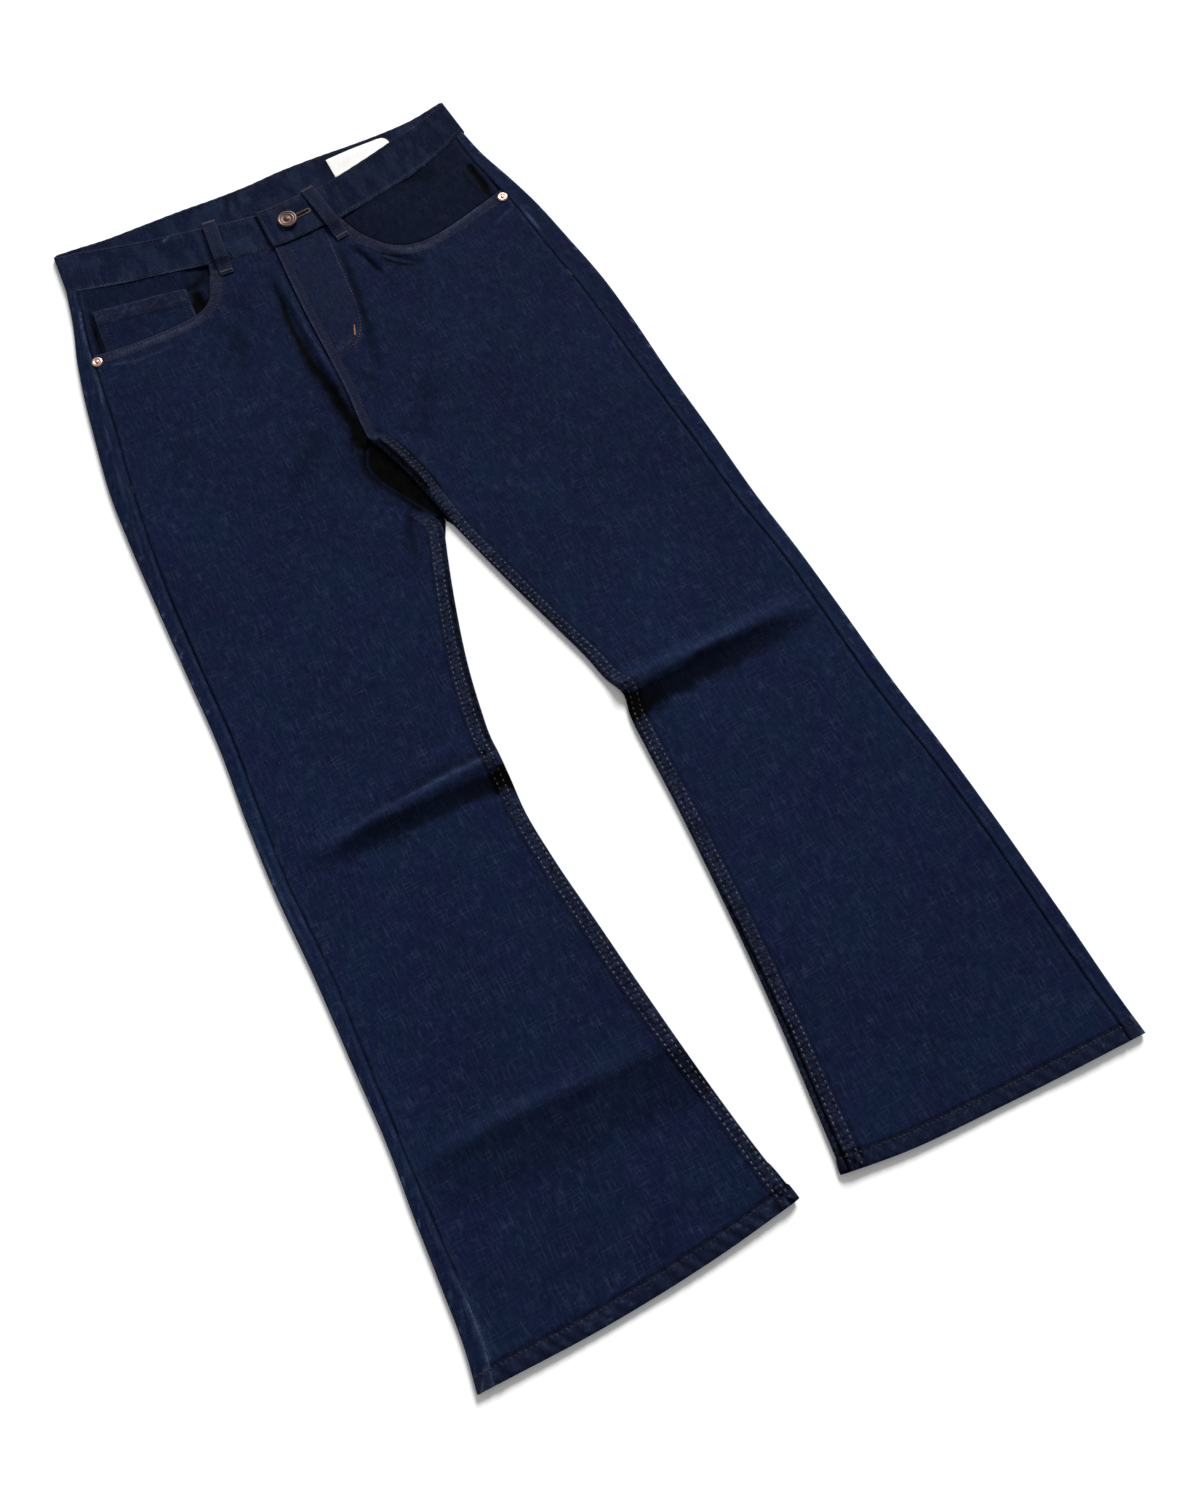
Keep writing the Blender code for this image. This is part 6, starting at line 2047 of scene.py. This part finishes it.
def finish(name, group, values, bump, sheen=0.0, specular=0.2, metallic=0.0):
    """A material whose colour, roughness and bump come from one group, set with the given values."""
    if name in bpy.data.materials:
        return bpy.data.materials[name]
    made = bpy.data.materials.new(name)
    made.use_nodes = True
    nodes = Nodes(made.node_tree)
    shader = nodes.add("BsdfPrincipled")
    shader.inputs["Specular IOR Level"].default_value = specular
    shader.inputs["Sheen Weight"].default_value = sheen
    shader.inputs["Sheen Roughness"].default_value = 0.45
    shader.inputs["Metallic"].default_value = metallic
    source = made.node_tree.nodes.new("ShaderNodeGroup")
    source.node_tree = group
    for title, value in values.items():
        if isinstance(value, str):
            value = nodes.add("Attribute", attribute_name=value).outputs["Fac"]
        elif not isinstance(value, float):
            value = (*value, 1)
        nodes.set(source.inputs[title], value)
    relief_node = nodes.add("Bump")
    relief_node.inputs["Strength"].default_value = bump[0]
    relief_node.inputs["Distance"].default_value = bump[1] * MM
    nodes.set(relief_node.inputs["Height"], source.outputs["Height"])
    nodes.set(shader.inputs["Base Color"], source.outputs["Color"])
    nodes.set(shader.inputs["Roughness"], source.outputs["Roughness"])
    nodes.set(shader.inputs["Normal"], relief_node.outputs[0])
    output = nodes.add("OutputMaterial")
    nodes.set(output.inputs["Surface"], shader.outputs[0])
    return made


def denim():
    colours = bpy.context.scene.jeans_colours
    values = {"Dye": colours.indigo, "Second dye": colours.teal, "Slub": colours.slub}
    values |= {"Worn colour": colours.worn, "Tint colour": colours.tobacco, "Unevenness": 0.62}
    values |= {"Worn": "worn", "Tinted": "browned", "Shaded": "shaded"}
    values |= {"Rungs": "rungs", "Rung phase": "phase"}
    return finish("indigo denim", cloth_weave(), values, (0.7, 0.18), specular=0.03)


def ribbon():
    white = bpy.context.scene.jeans_colours.ribbon
    pale = tuple(0.93 * channel for channel in white)
    values = {"Dye": white, "Second dye": pale, "Slub": white, "Worn colour": white}
    values |= {"Tint colour": pale, "Unevenness": 0.1}
    return finish("woven ribbon", cloth_weave(), values, (0.5, 0.08), sheen=0.1, specular=0.3)


def thread_of(name, colour_value):
    return finish(name, thread_twist(), {"Thread": colour_value}, (0.5, 0.1), specular=0.15)


def metal(name, colour_value, gloss):
    values = {"Metal": colour_value, "Tarnish": 0.55, "Gloss": gloss}
    return finish(name, rubbed_metal(), values, (0.35, 0.05), specular=0.5, metallic=1.0)


# Stage

# The camera's place in metres, its turns in radians, and its lens and sensor in millimetres
CAMERA_PLACE = (-0.12973, -0.41920, 0.93407)
CAMERA_TURN = math.radians(28.179)
CAMERA_PITCH = math.radians(71.2)
CAMERA_LENS = 29.52
SENSOR = 36.0
FLOOR_DROP = 0.2


class JEANS_OT_stage(bpy.types.Operator):
    """Set up the floor, the soft lights and the camera"""

    bl_idname = "jeans.stage"
    bl_label = "Stage"

    def execute(self, context):
        settings = context.scene.jeans_stage
        deselect_all()
        bpy.ops.mesh.primitive_plane_add(size=12, location=(0, 0, -FLOOR_DROP * MM))
        floor = context.object
        floor.name = "floor"
        bpy.ops.object.transform_apply(location=True, rotation=False, scale=False)
        paper = bpy.data.materials.new("floor paper")
        paper.use_nodes = True
        shader = paper.node_tree.nodes["Principled BSDF"]
        shader.inputs["Base Color"].default_value = (*[settings.floor_tone] * 3, 1)
        shader.inputs["Roughness"].default_value = 0.9
        floor.data.materials.append(paper)

        bpy.ops.object.light_add(type="SUN")
        lamp = context.object
        lamp.name = "key light"
        lamp.data.energy = settings.key
        lamp.data.angle = settings.key_spread
        level = Vector((math.sin(settings.key_turn), math.cos(settings.key_turn), 0))
        towards = math.cos(settings.key_height) * level + math.sin(settings.key_height) * Vector((0, 0, 1))
        turned_to = towards.to_track_quat("Z", "Y").to_matrix().to_4x4()
        lamp.matrix_world = Matrix.Translation(2 * towards) @ turned_to

        world = bpy.data.worlds.new("studio")
        world.use_nodes = True
        world.node_tree.nodes["Background"].inputs["Color"].default_value = (1, 1, 1, 1)
        world.node_tree.nodes["Background"].inputs["Strength"].default_value = settings.sky
        context.scene.world = world
        context.scene.view_settings.view_transform = "Standard"

        bpy.ops.object.camera_add()
        camera = context.object
        camera.data.lens = CAMERA_LENS
        camera.data.sensor_width = SENSOR
        camera.data.sensor_fit = "AUTO"
        level = Vector((math.sin(CAMERA_TURN), math.cos(CAMERA_TURN), 0))
        ahead = math.cos(CAMERA_PITCH) * level - math.sin(CAMERA_PITCH) * Vector((0, 0, 1))
        right = Vector((level.y, -level.x, 0))
        turn = Matrix((right, right.cross(ahead), -ahead)).transposed().to_4x4()
        camera.matrix_world = Matrix.Translation(CAMERA_PLACE) @ turn
        context.scene.camera = camera
        return {"FINISHED"}


class JEANS_PT_sidebar(bpy.types.Panel):
    """Lists the pieces of the jeans in the order in which they are made"""

    bl_label = "Jeans"
    bl_space_type = "VIEW_3D"
    bl_region_type = "UI"
    bl_category = "Jeans"

    def draw(self, context):
        for group in (getattr(context.scene, name) for name in SETTINGS):
            box = self.layout.box()
            for name in group.bl_rna.properties.keys():
                if name not in {"rna_type", "name"}:
                    box.prop(group, name)
        for maker in MAKERS:
            self.layout.operator(maker.bl_idname)


MAKERS = [
    JEANS_OT_back_panels,
    JEANS_OT_yokes,
    JEANS_OT_front_panels,
    JEANS_OT_crotch_fold,
    JEANS_OT_waistband,
    JEANS_OT_pocket_facings,
    JEANS_OT_coin_pocket,
    JEANS_OT_belt_loops,
    JEANS_OT_waist_label,
    JEANS_OT_button,
    JEANS_OT_rivets,
    JEANS_OT_leg_stitching,
    JEANS_OT_band_stitching,
    JEANS_OT_front_stitching,
    JEANS_OT_tacks,
    JEANS_OT_stage,
]
SETTINGS = {
    "jeans_cloth": JeansClothSizes,
    "jeans_threads": JeansThreadSizes,
    "jeans_colours": JeansColours,
    "jeans_stage": JeansStageSettings,
}


def register():
    for kind in (*SETTINGS.values(), *MAKERS, JEANS_PT_sidebar):
        bpy.utils.register_class(kind)
    for name, kind in SETTINGS.items():
        setattr(bpy.types.Scene, name, PointerProperty(type=kind))


def unregister():
    for name in SETTINGS:
        delattr(bpy.types.Scene, name)
    for kind in (JEANS_PT_sidebar, *reversed(MAKERS), *SETTINGS.values()):
        bpy.utils.unregister_class(kind)


def main():
    register()
    for maker in MAKERS:
        group, action = maker.bl_idname.split(".")
        getattr(getattr(bpy.ops, group), action)()


if __name__ == "__main__":
    main()
